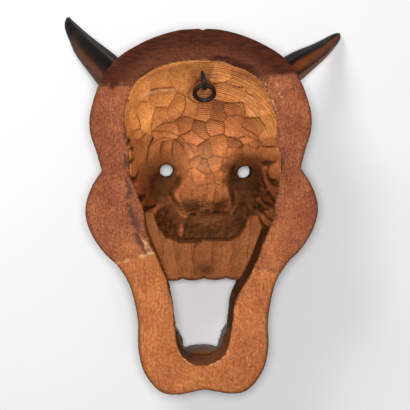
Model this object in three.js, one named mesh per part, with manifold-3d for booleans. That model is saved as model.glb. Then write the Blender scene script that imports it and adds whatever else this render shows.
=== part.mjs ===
// A carved wooden hannya mask, lying on its face with the open hollow up.
// Lengths are millimetres. +X is to the right and +Y towards the crown as seen from behind,
// and +Z is the way the open back faces. Depths are counted forward from the flat back rim.

import * as THREE from "three";
import { mergeVertices } from "three/addons/utils/BufferGeometryUtils.js";
import Module from "manifold-3d";

// The block
const RIM_HEIGHT = 110;
const FACE_X = 3;
const FIT_GAP = 0.3;

// Half of the rim's outer edge, from the crown to the notch at the temple, and from there to the chin
const CROWN = [
  [0, 153.6], [18, 152.3], [36.4, 147.6], [55, 139.5], [72, 128.6], [85.5, 111.5],
  [92.8, 94], [97, 76], [96, 62], [91.5, 48], [87, 31],
];
const JAW = [
  [87, 31], [96.5, 16], [102, -4], [97.5, -23], [86, -41], [75, -52], [66, -66], [60, -86],
  [57.2, -106], [57.4, -128], [52, -149], [38, -165.5], [25, -168.3], [12, -166.4], [0, -164],
];

// The rim's inner edge, clockwise from the top: forehead, right temple, right limb, jaw and back up
const HOLLOW_EDGE = [
  [-7, 126.4], [15.5, 125.3], [30, 121], [45.9, 113.7], [56.3, 103], [61.5, 90.4], [66.2, 78],
  [67, 64], [66, 56.5], [69, 47], [69.7, 34.9], [68.3, 17.8], [65, 2], [63, -13], [56.3, -27.5],
  [44.5, -57], [36, -72], [28.6, -86], [25.6, -104], [23.2, -120.5], [19, -132.5], [10, -139.6],
  [0.5, -141.6], [-11.5, -140], [-19.7, -132], [-23.8, -122], [-25, -107], [-27.5, -84],
  [-32, -66], [-38.5, -50], [-45.5, -33], [-50.1, -15.9], [-51.6, -2.7], [-57.5, 12.7],
  [-62.3, 26.3], [-63.1, 44.6], [-64.6, 58.6], [-67, 75.1], [-64.3, 91.9], [-56.9, 107.1],
  [-40.2, 119], [-22, 124.8],
];

// The hollow
const HOLLOW_MIDDLE = [3, 22];
const HOLLOW_DEPTH = 64;
const NOSE_BACK = 46;
const NOSE_BRIDGE = 9;
const NOSE_UNDER = 13;
const LIP_RECESS = 62;
const LIP_RECESS_MORE = 6;
const PLATE_BACK = 54;
const JAW_SHELF = 58;

// The mouth: the lower edge of the upper teeth, and the lower teeth and fangs at the bottom
const TOOTH_GAPS = [-35, -16.7, 3, 24, 38.5];
const TOOTH_EDGE = -70.2;
const TOOTH_DROP = 2.6;
const LOWER_TEETH = [
  [24.2, -113], [23.6, -120], [18.5, -127.5], [16, -137.6], [9, -136], [0.5, -134.7],
  [-8, -136.2], [-15.2, -138], [-17.2, -127], [-22.4, -120], [-24.4, -113],
];

// The eyes: each ball's middle, and the hole bored through it
const EYES = [
  { ball: [-31, 25.5], hole: [-29.5, 27.3] },
  { ball: [40.5, 24.5], hole: [42.3, 25] },
];
const EYE_HOLE_RADIUS = 6.2;

// Rounded lumps on the face: the middle with its depth, and half the width, height and thickness
const EYE_BALL = { depth: 67, half: [20.5, 17.8, 21] };
const LUMPS = [
  [[3, 2, 82], [15, 17, 30]],
  [[3, 24, 74], [11, 28, 20]],
  [[-15, -3, 77], [12.5, 13, 21]],
  [[21, -3, 77], [12.5, 13, 21]],
  [[2, -154, 76], [29, 12, 36]],
];

// The lips' ridge, right half from the middle of the upper lip to the middle of the lower lip
const FACE_DEPTH = 73;
const MOUTH_DEPTH = 66;
const LIPS = [
  [3, -38], [20, -37], [40, -37], [53, -43], [53.5, -57], [46, -78], [39, -100],
  [33.5, -122], [26, -139], [14, -146], [3, -147],
];
const LIP_HALF = [5.4, 8];

// Fangs: root and tip with their depths, and the root's half width
const FANGS = [
  [[-36, -42, 70], [-29, -91, 77], 6.4],
  [[42, -42, 70], [35, -91, 77], 6.4],
  [[-19.5, -147, 72], [-22.5, -117, 86], 6.2],
  [[20.5, -147, 72], [23.5, -117, 86], 6.2],
];

// Facets: the length of a step along the edges and carved lines, and the net of points between them
const EDGE_STEP = 7.4;
const HOLLOW_STEP = 5.6;
const LINE_STEP = 5;
const FRONT_NET = 8.6;
const HOLLOW_NET = 8;

// Horns: the middle of each section with its radius, from the root in the wood to the tip
const HORNS = {
  horn_left: [
    [-65, 99, 75, 14.6], [-80.5, 118.2, 59, 15.2], [-99.5, 138.3, 35, 12], [-108.8, 150.5, 19.5, 8.8],
    [-116.6, 162, 8.5, 5.6], [-118.8, 169, 1.2, 2.2],
  ],
  horn_right: [
    [65, 104, 75, 12.6], [86.5, 119.4, 59, 13.2], [110, 133.2, 35, 9.4], [121.6, 140.7, 19.5, 7.2],
    [131.5, 148, 8.5, 4.7], [135.6, 151.6, 1, 2],
  ],
};
const HORN_STATIONS = 12;
const HORN_SIDES = 12;

// The iron ring, lying on the slope of the forehead, and the pin bent round it
const RING_MIDDLE = [4.7, 98, 80.6];
const RING_RADIUS = 8.7;
const RING_WIRE = 2.1;
const RING_TILT = 40;
const PIN_THICK = 0.9;
const PIN_WIDE = 2.2;
const PIN_BURIED = 7;
const PIN_RISE = 12.5;

const WOOD = new THREE.MeshStandardMaterial({ color: 0xa8683e, roughness: 0.62, metalness: 0 });
const HORN_WOOD = new THREE.MeshStandardMaterial({ color: 0x3a2418, roughness: 0.45, metalness: 0 });
const IRON = new THREE.MeshStandardMaterial({ color: 0x2e2724, roughness: 0.55, metalness: 0.8 });

const wasm = await Module();
wasm.setup();

// The value at a share of the way from one to another
const mix = (a, b, share) => a + (b - a) * share;
const clamp = (value, low, high) => Math.min(high, Math.max(low, value));

// The same from 0 to 1 with soft ends, as a value goes from one bound to the other
function ease(from, to, value) {
  const t = clamp((value - from) / (to - from), 0, 1);
  return t * t * (3 - 2 * t);
}

// A soft mound one high: a higher power gives it a flatter top and steeper sides
function mound(dx, dy, wide, tall, power = 2) {
  return Math.exp(-(((dx / wide) ** 2 + (dy / tall) ** 2) ** (power / 2)));
}

// A smooth curve through the points, as points about one step apart
function curve(points, step, closed = false) {
  const through = points.map(([x, y]) => new THREE.Vector3(x, y, 0));
  const line = new THREE.CatmullRomCurve3(through, closed, "centripetal");
  const count = Math.round(line.getLength() / step);
  const spaced = line.getSpacedPoints(count);
  if (closed) {
    spaced.pop();
  }
  return spaced.map((point) => [point.x, point.y]);
}

// The shortest way from a place to a line of points, and how far along the line that is
function nearest(line, x, y, closed) {
  let best = Infinity;
  let along = 0;
  const last = closed ? line.length : line.length - 1;
  for (let i = 0; i < last; i++) {
    const [ax, ay] = line[i];
    const [bx, by] = line[(i + 1) % line.length];
    const [ux, uy] = [bx - ax, by - ay];
    const share = clamp(((x - ax) * ux + (y - ay) * uy) / (ux * ux + uy * uy), 0, 1);
    const gap = Math.hypot(x - ax - share * ux, y - ay - share * uy);
    if (gap < best) {
      best = gap;
      along = (i + share) / last;
    }
  }
  return { gap: best, along };
}

// The distance in from a closed edge, negative outside it
function inside(edge, x, y) {
  let within = false;
  edge.forEach(([ax, ay], i) => {
    const [bx, by] = edge[(i + 1) % edge.length];
    if (ay > y !== by > y && x < ((bx - ax) * (y - ay)) / (by - ay) + ax) {
      within = !within;
    }
  });
  const { gap } = nearest(edge, x, y, true);
  return within ? gap : -gap;
}

// The straight sides of a closed outline as points about a line step apart
function finely(outline) {
  return outline.flatMap(([ax, ay], i) => {
    const [bx, by] = outline[(i + 1) % outline.length];
    const count = Math.ceil(Math.hypot(bx - ax, by - ay) / LINE_STEP);
    return Array.from({ length: count }, (empty, k) => [mix(ax, bx, k / count), mix(ay, by, k / count)]);
  });
}

// Half of the rim's edge on the other side, so that both halves run the same way round
const mirrored = (points) => points.map(([x, y]) => [-x, y]).reverse();

const HALF_EDGE = [...curve(CROWN, EDGE_STEP).slice(0, -1), ...curve(JAW, EDGE_STEP)];
const RIM_EDGE = [...HALF_EDGE, ...mirrored(HALF_EDGE.slice(1, -1))].reverse();
const HOLLOW_LINE = curve(HOLLOW_EDGE, HOLLOW_STEP, true).reverse();
const LIP_LINE = curve(
  [...LIPS, ...LIPS.slice(1, -1).reverse().map(([x, y]) => [2 * FACE_X - x, y])],
  8,
  true,
);
const NOSE_BACK_LINE = curve(
  [
    [-0.5, 29], [-9, 26], [-15.5, 21.5], [-21.5, 14.5], [-26, 8.5], [-24.5, 3], [-20, -5],
    [-15, -13.5], [-5, -15.5], [6.7, -15], [18.5, -14.5], [28, -12], [31.5, -1], [29.5, 10],
    [26.5, 16.5], [19, 21], [12, 24.5], [5, 27],
  ],
  5,
  true,
);
const PLATE_LINE = finely([
  [-58, -6], [-49, -8], [-42, -11], [-38.5, -22], [-31, -33], [-22, -36.3], [3, -36.2],
  [27, -36.8], [36, -33], [43, -24], [49.5, -12.5], [57, -9], [72, -6], [72, -90], [-58, -90],
]);
const RECESS_LINE = finely([
  [-33, -5], [-40, -10], [-42, -16], [-40, -26], [-34, -37], [-22, -40], [27, -40], [38, -37],
  [45, -27], [49, -15], [43, -5], [33, -6], [0, -8], [-28, -4],
].reverse());
const BROWS = [-1, 1].map((way) =>
  curve(
    [[4, 40], [15, 48], [32, 58], [52, 64], [70, 60], [82, 48]].map(([a, y]) => [FACE_X + way * a, y]),
    6,
  ),
);
const CHEEK_FOLDS = [-1, 1].map((way) =>
  curve(
    [[29, 2], [42, -6], [57, -18], [68, -34], [68, -52], [60, -70]].map(([a, y]) => [FACE_X + way * a, y]),
    6,
  ),
);

// The lower edge of the upper teeth: one shallow bow for each broad tooth
function toothEdge(x) {
  for (let i = 0; i + 1 < TOOTH_GAPS.length; i++) {
    const share = (x - TOOTH_GAPS[i]) / (TOOTH_GAPS[i + 1] - TOOTH_GAPS[i]);
    if (share > 0 && share < 1) {
      return TOOTH_EDGE - TOOTH_DROP * Math.sqrt(1 - (2 * share - 1) ** 2);
    }
  }
  return TOOTH_EDGE;
}

// How far the carved face stands forward of the rim at a place
function faceDepth(x, y) {
  const across = Math.abs(x - FACE_X);
  const margin = Math.max(0, inside(RIM_EDGE, x, y));
  const wall = mix(24, 42, ease(-10, -90, y)) + 20 * ease(-110, -165, y);
  const dome = FACE_DEPTH - 3 * ease(20, 120, y);
  const reach = mix(26, 16, ease(-20, -80, y));
  let depth = wall + (dome - wall) * Math.sqrt(1 - Math.exp(-margin / reach));

  // forehead, brows and frown
  depth += 6 * mound(across - 32, y - 92, 26, 24);
  for (const brow of BROWS) {
    const { gap, along } = nearest(brow, x, y, false);
    depth += Math.exp(-((gap / 8.5) ** 2)) * (8 + 8 * Math.sin(Math.PI * along));
  }
  depth -= 6 * mound(x - FACE_X, y - 64, 3.2, 15);
  depth -= 4 * mound(across - 10 + (y - 70) * 0.33, y - 70, 3.2, 15);

  // cheekbones, the bags under the eyes and the muzzle over the teeth
  depth += 21 * mound(across - 63, y + 2, 22, 17, 2.4);
  depth += 9 * mound(across - 37, y - 1, 20, 12, 3);
  depth += 13 * mound(across, y + 25, 40, 14, 3);

  // eye sockets
  for (const { ball } of EYES) {
    depth -= 5 * Math.exp(-((Math.hypot(x - ball[0], (y - ball[1]) * 1.15) / 28) ** 6));
  }

  // folds from the nose round the mouth
  for (const fold of CHEEK_FOLDS) {
    const { gap, along } = nearest(fold, x, y, false);
    depth += 7 * Math.exp(-((gap / 5.5) ** 2)) * Math.sin(Math.PI * clamp(along, 0.001, 0.999)) ** 0.7;
  }

  // the open mouth inside the lips, with the upper teeth and the low shelf of the lower teeth
  const within = inside(LIP_LINE, x, y);
  depth = mix(depth, MOUTH_DEPTH, ease(-4, 0, within));
  for (let i = 0; i + 1 < TOOTH_GAPS.length; i++) {
    const share = (x - TOOTH_GAPS[i]) / (TOOTH_GAPS[i + 1] - TOOTH_GAPS[i]);
    if (share > 0 && share < 1 && y < -43 && y > -76) {
      const round = Math.sqrt(1 - Math.abs(2 * share - 1) ** 3.5);
      depth = Math.max(depth, MOUTH_DEPTH + 8 * round);
    }
  }
  if (Math.abs(x - 0.4) < 16 && y > -146 && y < -133) {
    depth = Math.max(depth, MOUTH_DEPTH + 12 * ease(-133, -136.5, y));
  }
  return depth;
}

// The share of the way that a place lies from a middle out to the edge round it
function shareOut(edge, [mx, my], x, y) {
  const [dx, dy] = [x - mx, y - my];
  let share = 0;
  edge.forEach(([ax, ay], i) => {
    const [bx, by] = edge[(i + 1) % edge.length];
    const [ux, uy] = [bx - ax, by - ay];
    const cross = dx * uy - dy * ux;
    const along = ((ax - mx) * dy - (ay - my) * dx) / cross;
    const out = ((ax - mx) * uy - (ay - my) * ux) / cross;
    if (along > -1e-6 && along < 1 + 1e-6 && out > 0) {
      share = Math.max(share, 1 / out);
    }
  });
  return Math.min(1, share);
}

// How deep the hollow is under the rim at a place
function hollowDepth(x, y) {
  const steep = mix(2.4, 14, ease(34, -10, y));
  let depth = HOLLOW_DEPTH * (1 - shareOut(HOLLOW_LINE, HOLLOW_MIDDLE, x, y) ** steep);
  depth += 9 * mound(x + 31, y - 19, 19, 21, 3);
  depth += 10 * mound(x - 43, y - 14, 17, 21, 3);
  depth -= 6 * mound(x - FACE_X, y - 44, 15, 22);
  const nose = inside(NOSE_BACK_LINE, x, y);
  const noseSide = 6 * (Math.abs(x - FACE_X) / 27) ** 3;
  const noseTop = NOSE_BACK + NOSE_BRIDGE * ease(-2, 32, y) + NOSE_UNDER * ease(3, -15, y) + noseSide;
  depth = mix(depth, noseTop, ease(-3, 5, nose));
  const recess = ease(-1.5, 2.5, inside(RECESS_LINE, x, y)) * ease(2, -4, nose);
  depth = mix(depth, LIP_RECESS + LIP_RECESS_MORE * ease(-12, -32, y), recess);
  const plate = inside(PLATE_LINE, x, y);
  depth = mix(depth, PLATE_BACK, ease(-1.5, 1, plate));
  if (y < TOOTH_EDGE - 8) {
    depth = JAW_SHELF;
  }
  return Math.max(depth, 1);
}

// The edge moved in by a distance, or out where it is negative
function inset(edge, distance) {
  const count = edge.length;
  return edge.map(([x, y], i) => {
    const [ax, ay] = edge[(i + count - 1) % count];
    const [bx, by] = edge[(i + 1) % count];
    const long = Math.hypot(bx - ax, by - ay);
    return [x - ((by - ay) / long) * distance, y + ((bx - ax) / long) * distance];
  });
}

// Points over the plan: those of the edge, then those of its main lines, then a plain net between them
function scatter(edge, lines, net) {
  const kept = [...edge];
  const keep = (x, y, room) => {
    const clear = kept.every(([kx, ky]) => Math.hypot(kx - x, ky - y) > room);
    if (clear && inside(edge, x, y) > room * 0.7) {
      kept.push([x, y]);
    }
  };
  lines.flat().forEach(([x, y]) => keep(x, y, 2.8));
  const rise = net * Math.sin(Math.PI / 3);
  const reach = 30;
  for (let row = -reach; row <= reach; row++) {
    for (let column = -reach; column <= reach; column++) {
      keep((column + (row % 2 === 0 ? 0 : 0.5)) * net, row * rise, net * 0.7);
    }
  }
  return kept;
}

// Triangles between the points, such that no circle round one holds another point
function triangulate(points) {
  const nudge = (i, turn) => 1e-4 * Math.sin(i * turn);
  const all = points.map(([x, y], i) => [x + nudge(i, 12.9), y + nudge(i, 78.2)]);
  const far = 1e4;
  all.push([-far, -far], [far, -far], [0, far]);
  const withCircle = (a, b, c) => {
    const [[ax, ay], [bx, by], [cx, cy]] = [all[a], all[b], all[c]];
    const twice = 2 * (ax * (by - cy) + bx * (cy - ay) + cx * (ay - by));
    const [aa, bb, cc] = [ax * ax + ay * ay, bx * bx + by * by, cx * cx + cy * cy];
    const x = (aa * (by - cy) + bb * (cy - ay) + cc * (ay - by)) / twice;
    const y = (aa * (cx - bx) + bb * (ax - cx) + cc * (bx - ax)) / twice;
    return { corners: [a, b, c], x, y, radius: Math.hypot(ax - x, ay - y) };
  };
  const first = points.length;
  let found = [withCircle(first, first + 1, first + 2)];
  for (let i = 0; i < first; i++) {
    const [x, y] = all[i];
    const open = new Map();
    const rest = [];
    for (const triangle of found) {
      if (Math.hypot(x - triangle.x, y - triangle.y) >= triangle.radius) {
        rest.push(triangle);
        continue;
      }
      const [a, b, c] = triangle.corners;
      for (const [from, to] of [[a, b], [b, c], [c, a]]) {
        if (!open.delete(`${to},${from}`)) {
          open.set(`${from},${to}`, [from, to]);
        }
      }
    }
    for (const [from, to] of open.values()) {
      rest.push(withCircle(from, to, i));
    }
    found = rest;
  }
  return found.map(({ corners }) => corners).filter((corners) => corners.every((i) => i < first));
}

// A closed body between a level lid and a carved surface below it, inside a plan's edge
function carvedBody(edge, lines, net, lid, carved) {
  const plan = scatter(edge, lines, net);
  const position = plan.flatMap(([x, y]) => [x, y, carved(x, y)]);
  const index = [];
  for (const [a, b, c] of triangulate(plan)) {
    const middleX = (plan[a][0] + plan[b][0] + plan[c][0]) / 3;
    const middleY = (plan[a][1] + plan[b][1] + plan[c][1]) / 3;
    if (inside(edge, middleX, middleY) > 0) {
      index.push(a, c, b);
    }
  }
  const top = plan.length;
  edge.forEach(([x, y]) => position.push(x, y, lid));
  edge.forEach((point, i) => {
    const next = (i + 1) % edge.length;
    index.push(i, next, top + i);
    index.push(next, top + next, top + i);
  });
  const contour = edge.map(([x, y]) => new THREE.Vector2(x, y));
  for (const [a, b, c] of THREE.ShapeUtils.triangulateShape(contour, [])) {
    index.push(top + a, top + b, top + c);
  }
  return bodyFrom(position, index);
}

// A body from the places of its corners and the corners of its triangles
function bodyFrom(position, index) {
  const geometry = new THREE.BufferGeometry();
  geometry.setAttribute("position", new THREE.Float32BufferAttribute(position, 3));
  geometry.setIndex(index);
  return geometry;
}

// A body made ready to be joined or cut, and back again
function solid(geometry) {
  const bare = geometry.clone();
  bare.deleteAttribute("normal");
  bare.deleteAttribute("uv");
  const merged = mergeVertices(bare, 1e-4);
  return new wasm.Manifold(
    new wasm.Mesh({
      numProp: 3,
      vertProperties: merged.attributes.position.array,
      triVerts: new Uint32Array(merged.index.array),
    }),
  );
}

function geometryOf(body) {
  const mesh = body.getMesh();
  return bodyFrom(Array.from(mesh.vertProperties), Array.from(mesh.triVerts)).toNonIndexed();
}

// A tapering bar along a line, or round a closed one: each section is an ellipse square to the line
function taperedBar(line, radii, sides, closed = false) {
  const position = [];
  const index = [];
  const reference = new THREE.Vector3(0, 0, 1);
  const count = line.length;
  line.forEach((point, i) => {
    const ahead = closed ? line[(i + 1) % count] : line[Math.min(i + 1, count - 1)];
    const behind = closed ? line[(i + count - 1) % count] : line[Math.max(i - 1, 0)];
    const along = new THREE.Vector3().subVectors(ahead, behind).normalize();
    const wide = new THREE.Vector3().crossVectors(reference, along).normalize();
    const thick = new THREE.Vector3().crossVectors(along, wide);
    const [halfWide, halfThick] = radii(i / (count - 1));
    for (let k = 0; k < sides; k++) {
      const angle = (2 * Math.PI * k) / sides;
      const place = point
        .clone()
        .addScaledVector(wide, halfWide * Math.cos(angle))
        .addScaledVector(thick, halfThick * Math.sin(angle));
      position.push(place.x, place.y, Math.max(0, place.z));
    }
  });
  for (let i = 0; i + (closed ? 0 : 1) < count; i++) {
    const far = ((i + 1) % count) * sides;
    for (let k = 0; k < sides; k++) {
      const next = (k + 1) % sides;
      const [a, b] = [i * sides + k, i * sides + next];
      index.push(a, b, far + k, b, far + next, far + k);
    }
  }
  if (closed) {
    return bodyFrom(position, index);
  }
  const [first, last] = [position.length / 3, position.length / 3 + 1];
  const end = line[count - 1];
  position.push(line[0].x, line[0].y, line[0].z);
  position.push(end.x, end.y, Math.max(0, end.z));
  for (let k = 0; k < sides; k++) {
    const next = (k + 1) % sides;
    index.push(first, next, k);
    index.push(last, (count - 1) * sides + k, (count - 1) * sides + next);
  }
  return bodyFrom(position, index);
}

// A horn through its stations. The extra makes the socket: wider all round, and deeper in the wood
function horn(stations, extra) {
  const middle = new THREE.CatmullRomCurve3(
    stations.map(([x, y, z]) => new THREE.Vector3(x, y, z)),
    false,
    "centripetal",
  );
  const sizes = new THREE.CatmullRomCurve3(
    stations.map(([, , , radius], i) => new THREE.Vector3(i, radius, 0)),
    false,
    "centripetal",
  );
  const line = middle.getPoints(HORN_STATIONS);
  if (extra > 0) {
    const back = new THREE.Vector3().subVectors(line[0], line[1]).normalize();
    line[0].addScaledVector(back, extra);
  }
  return taperedBar(
    line,
    (share) => {
      const radius = sizes.getPoint(share).y + extra;
      return [radius, radius * 0.94];
    },
    HORN_SIDES,
  );
}

// The pin comes out of the wood above the ring, passes over its wire and is bent back under it
const ringTilt = THREE.MathUtils.degToRad(RING_TILT);
const upSlope = new THREE.Vector3(0, Math.cos(ringTilt), Math.sin(ringTilt));
const offSlope = new THREE.Vector3(0, -Math.sin(ringTilt), Math.cos(ringTilt));
const ringMiddle = new THREE.Vector3(...RING_MIDDLE);
const ringTop = ringMiddle.clone().addScaledVector(upSlope, RING_RADIUS);

function pinLine() {
  const hook = RING_WIRE + PIN_THICK + FIT_GAP + 0.1;
  const place = (up, off, x) => ringTop.clone().addScaledVector(upSlope, up).addScaledVector(offSlope, off)
    .add(new THREE.Vector3(x - ringTop.x, 0, 0));
  const line = [
    place(PIN_RISE + PIN_BURIED, -1.6, 2.0),
    place(PIN_RISE, 0.4, 2.6),
    place(9, 1.4, 3.2),
    place(5, hook - 0.4, 3.8),
    place(1.6, hook, 4.2),
  ];
  for (let degrees = 75; degrees >= -100; degrees -= 25) {
    const angle = THREE.MathUtils.degToRad(degrees);
    line.push(place(-hook * Math.cos(angle), hook * Math.sin(angle), 4.3));
  }
  return new THREE.CatmullRomCurve3(line, false, "centripetal").getPoints(24);
}

function pin(extra) {
  return taperedBar(
    pinLine(),
    (share) => {
      const width = mix(0.8, PIN_WIDE, ease(0.05, 0.42, share)) * mix(1, 0.7, ease(0.8, 1, share));
      const thick = mix(0.7, PIN_THICK, ease(0.05, 0.4, share));
      return [width + extra, thick + extra];
    },
    8,
  );
}

// A round wire turned about the ring's axis
function ring() {
  const wire = new THREE.Shape();
  wire.absarc(RING_RADIUS, 0, RING_WIRE, 0, 2 * Math.PI, false);
  const profile = wire.getPoints(3).slice(0, -1).map((point) => new THREE.Vector2(point.x, point.y));
  profile.push(profile[0].clone());
  const turned = new THREE.LatheGeometry(profile, 28);
  turned.rotateX(Math.PI / 2);
  return turned;
}

// The cut through the mouth: under the upper teeth, down both limbs and over the lower teeth
function mouthOpening() {
  const teeth = [];
  for (let i = 0; i + 1 < TOOTH_GAPS.length; i++) {
    const [from, to] = [TOOTH_GAPS[i], TOOTH_GAPS[i + 1]];
    for (let k = 0; k < 4; k++) {
      const x = mix(from, to, k / 4 + 0.001);
      teeth.push([x, toothEdge(x)]);
    }
  }
  const rightLimb = HOLLOW_LINE.filter(([x, y]) => x > 0 && y < TOOTH_EDGE - 2 && y > -112)
    .sort((a, b) => b[1] - a[1]);
  const leftLimb = HOLLOW_LINE.filter(([x, y]) => x < 0 && y < TOOTH_EDGE - 2 && y > -112)
    .sort((a, b) => a[1] - b[1]);
  const within = (point) => inside(HOLLOW_LINE, ...point) > 0.2;
  const outline = [...teeth.filter(within), ...rightLimb, ...curve(LOWER_TEETH, 5), ...leftLimb];
  const shape = new THREE.Shape(outline.map(([x, y]) => new THREE.Vector2(x, y)));
  const cut = new THREE.ExtrudeGeometry(shape, { depth: RIM_HEIGHT + 2, bevelEnabled: false });
  return cut.translate(0, 0, -1);
}

function eyeHole([x, y]) {
  const cut = new THREE.CylinderGeometry(EYE_HOLE_RADIUS, EYE_HOLE_RADIUS, RIM_HEIGHT, 9);
  return cut.rotateX(Math.PI / 2).translate(x, y, RIM_HEIGHT / 2);
}

// An egg-shaped lump, for eyeballs, nose and chin
function lump([x, y, depth], [wide, tall, thick]) {
  const ball = new THREE.SphereGeometry(1, 14, 9);
  return ball.rotateX(Math.PI / 2).scale(wide, tall, thick).translate(x, y, RIM_HEIGHT - depth);
}

// The rolled lip round the mouth, standing further forward towards the chin
function lips() {
  const line = inset(LIP_LINE, -3).map(([x, y]) => {
    const top = mix(83, 80, ease(-60, -110, y)) + 21 * ease(-118, -148, y);
    return new THREE.Vector3(x, y, RIM_HEIGHT - top + LIP_HALF[1]);
  });
  return taperedBar(line, () => LIP_HALF, 6, true);
}

// The rolled lid round an eyeball, thicker above than below
function eyelids([x, y]) {
  const count = 20;
  const line = Array.from({ length: count }, (empty, i) => {
    const angle = (2 * Math.PI * i) / count;
    const rise = Math.sin(angle);
    return new THREE.Vector3(x + 20.5 * Math.cos(angle), y + 18.2 * rise, RIM_HEIGHT - 74 - 3 * rise);
  });
  return taperedBar(line, (share) => {
    const rise = Math.sin(2 * Math.PI * share * ((count - 1) / count));
    return [3.2 + 0.6 * rise, 5 + rise];
  }, 6, true);
}

// A fang bowed forward between its root and its tip
function fang(root, tip, radius) {
  const [from, to] = [root, tip].map(([x, y, depth]) => new THREE.Vector3(x, y, RIM_HEIGHT - depth));
  const line = Array.from({ length: 7 }, (empty, i) => {
    const place = new THREE.Vector3().lerpVectors(from, to, i / 6);
    place.z -= 5 * Math.sin((Math.PI * i) / 6);
    return place;
  });
  return taperedBar(line, (share) => [radius * (1 - 0.86 * share ** 1.6), radius * (1.1 - 0.95 * share)], 9);
}

// The whole block: the face with its parts, cut level below, then hollowed and pierced
function maskBody() {
  const teeth = TOOTH_GAPS.flatMap((gap) =>
    [-3, 0, 3].map((off) => [-45, -50.5, -56, -61.5, -67].map((y) => [gap + off, y])),
  );
  const face = [inset(RIM_EDGE, 2.8), inset(RIM_EDGE, 8), ...teeth, ...BROWS, ...CHEEK_FOLDS];
  let body = solid(carvedBody(RIM_EDGE, face, FRONT_NET, RIM_HEIGHT, (x, y) => RIM_HEIGHT - faceDepth(x, y)));
  body = body.add(solid(lips()));
  for (const { ball } of EYES) {
    body = body.add(solid(lump([...ball, EYE_BALL.depth], EYE_BALL.half))).add(solid(eyelids(ball)));
  }
  for (const [middle, half] of LUMPS) {
    body = body.add(solid(lump(middle, half)));
  }
  for (const [root, tip, radius] of FANGS) {
    body = body.add(solid(fang(root, tip, radius)));
  }
  const floor = new THREE.BoxGeometry(300, 400, 20).translate(0, 0, -10);
  body = body.subtract(solid(floor));
  const behind = [
    inset(HOLLOW_LINE, 3),
    inset(NOSE_BACK_LINE, -2.2),
    inset(NOSE_BACK_LINE, 3.4),
    inset(PLATE_LINE, -1.7),
    inset(PLATE_LINE, 1.2),
    inset(RECESS_LINE, -2),
    inset(RECESS_LINE, 2.4),
  ];
  const hollow = carvedBody(HOLLOW_LINE, behind, HOLLOW_NET, RIM_HEIGHT + 5, (x, y) =>
    RIM_HEIGHT - hollowDepth(x, y),
  );
  body = body.subtract(solid(hollow)).subtract(solid(mouthOpening()));
  for (const { hole } of EYES) {
    body = body.subtract(solid(eyeHole(hole)));
  }
  for (const stations of Object.values(HORNS)) {
    body = body.subtract(solid(horn(stations, FIT_GAP)));
  }
  body = body.subtract(solid(pin(FIT_GAP)));
  return geometryOf(body);
}

function piece(name, geometry, material) {
  const mesh = new THREE.Mesh(geometry, material);
  mesh.name = name;
  return mesh;
}

const mask = new THREE.Group();
mask.add(piece("mask", maskBody(), WOOD));
for (const [name, stations] of Object.entries(HORNS)) {
  mask.add(piece(name, horn(stations, 0), HORN_WOOD));
}
const hangingRing = piece("hanging_ring", ring(), IRON);
hangingRing.position.copy(ringMiddle);
hangingRing.rotation.x = ringTilt;
mask.add(hangingRing);
mask.add(piece("ring_pin", pin(0), IRON));

// The origin goes under the middle of the whole
mask.updateMatrixWorld(true);
const whole = new THREE.Box3().setFromObject(mask);
const middle = whole.getCenter(new THREE.Vector3());
mask.position.set(-middle.x, -middle.y, -whole.min.z);

const model = new THREE.Group();
model.add(mask);
export default model;
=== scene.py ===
import math

import bpy
import numpy as np
from mathutils import Matrix, Vector
from mathutils.geometry import delaunay_2d_cdt


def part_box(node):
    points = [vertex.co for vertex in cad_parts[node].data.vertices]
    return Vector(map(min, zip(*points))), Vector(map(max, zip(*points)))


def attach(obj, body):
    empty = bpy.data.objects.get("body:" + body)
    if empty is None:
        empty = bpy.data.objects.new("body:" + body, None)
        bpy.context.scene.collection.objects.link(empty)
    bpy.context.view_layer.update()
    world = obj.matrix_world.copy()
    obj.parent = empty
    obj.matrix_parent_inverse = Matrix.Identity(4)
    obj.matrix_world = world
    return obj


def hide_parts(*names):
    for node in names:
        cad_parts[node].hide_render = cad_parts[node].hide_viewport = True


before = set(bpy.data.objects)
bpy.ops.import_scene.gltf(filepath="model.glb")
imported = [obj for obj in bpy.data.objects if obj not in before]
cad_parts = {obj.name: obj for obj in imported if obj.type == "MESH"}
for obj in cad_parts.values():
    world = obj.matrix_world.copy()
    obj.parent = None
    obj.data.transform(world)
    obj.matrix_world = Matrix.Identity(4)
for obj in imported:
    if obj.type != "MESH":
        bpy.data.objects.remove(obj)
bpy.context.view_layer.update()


# The mask: one block of wood, hollowed from behind with gouges until a face fits in, its rim
# planed flat. In front it is carved as a demon's face with an open mouth and lacquered dark.
# Its lines and places are in mm, across and up from the middle of its back, as seen from behind.
MM = 0.001
# the rim's height over the table, and how far the face's middle lies to the right of the back's
RIM_HEIGHT = 110.0
FACE_X = 3.0
chance = np.random.default_rng(11)


def mix(a, b, share):
    return a + (b - a) * share


def ease(start, end, value):
    t = np.clip((value - start) / (end - start), 0, 1)
    return t * t * (3 - 2 * t)


def mound(dx, dy, wide, tall, power=2):
    return np.exp(-(((dx / wide) ** 2 + (dy / tall) ** 2) ** (power / 2)))


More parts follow.
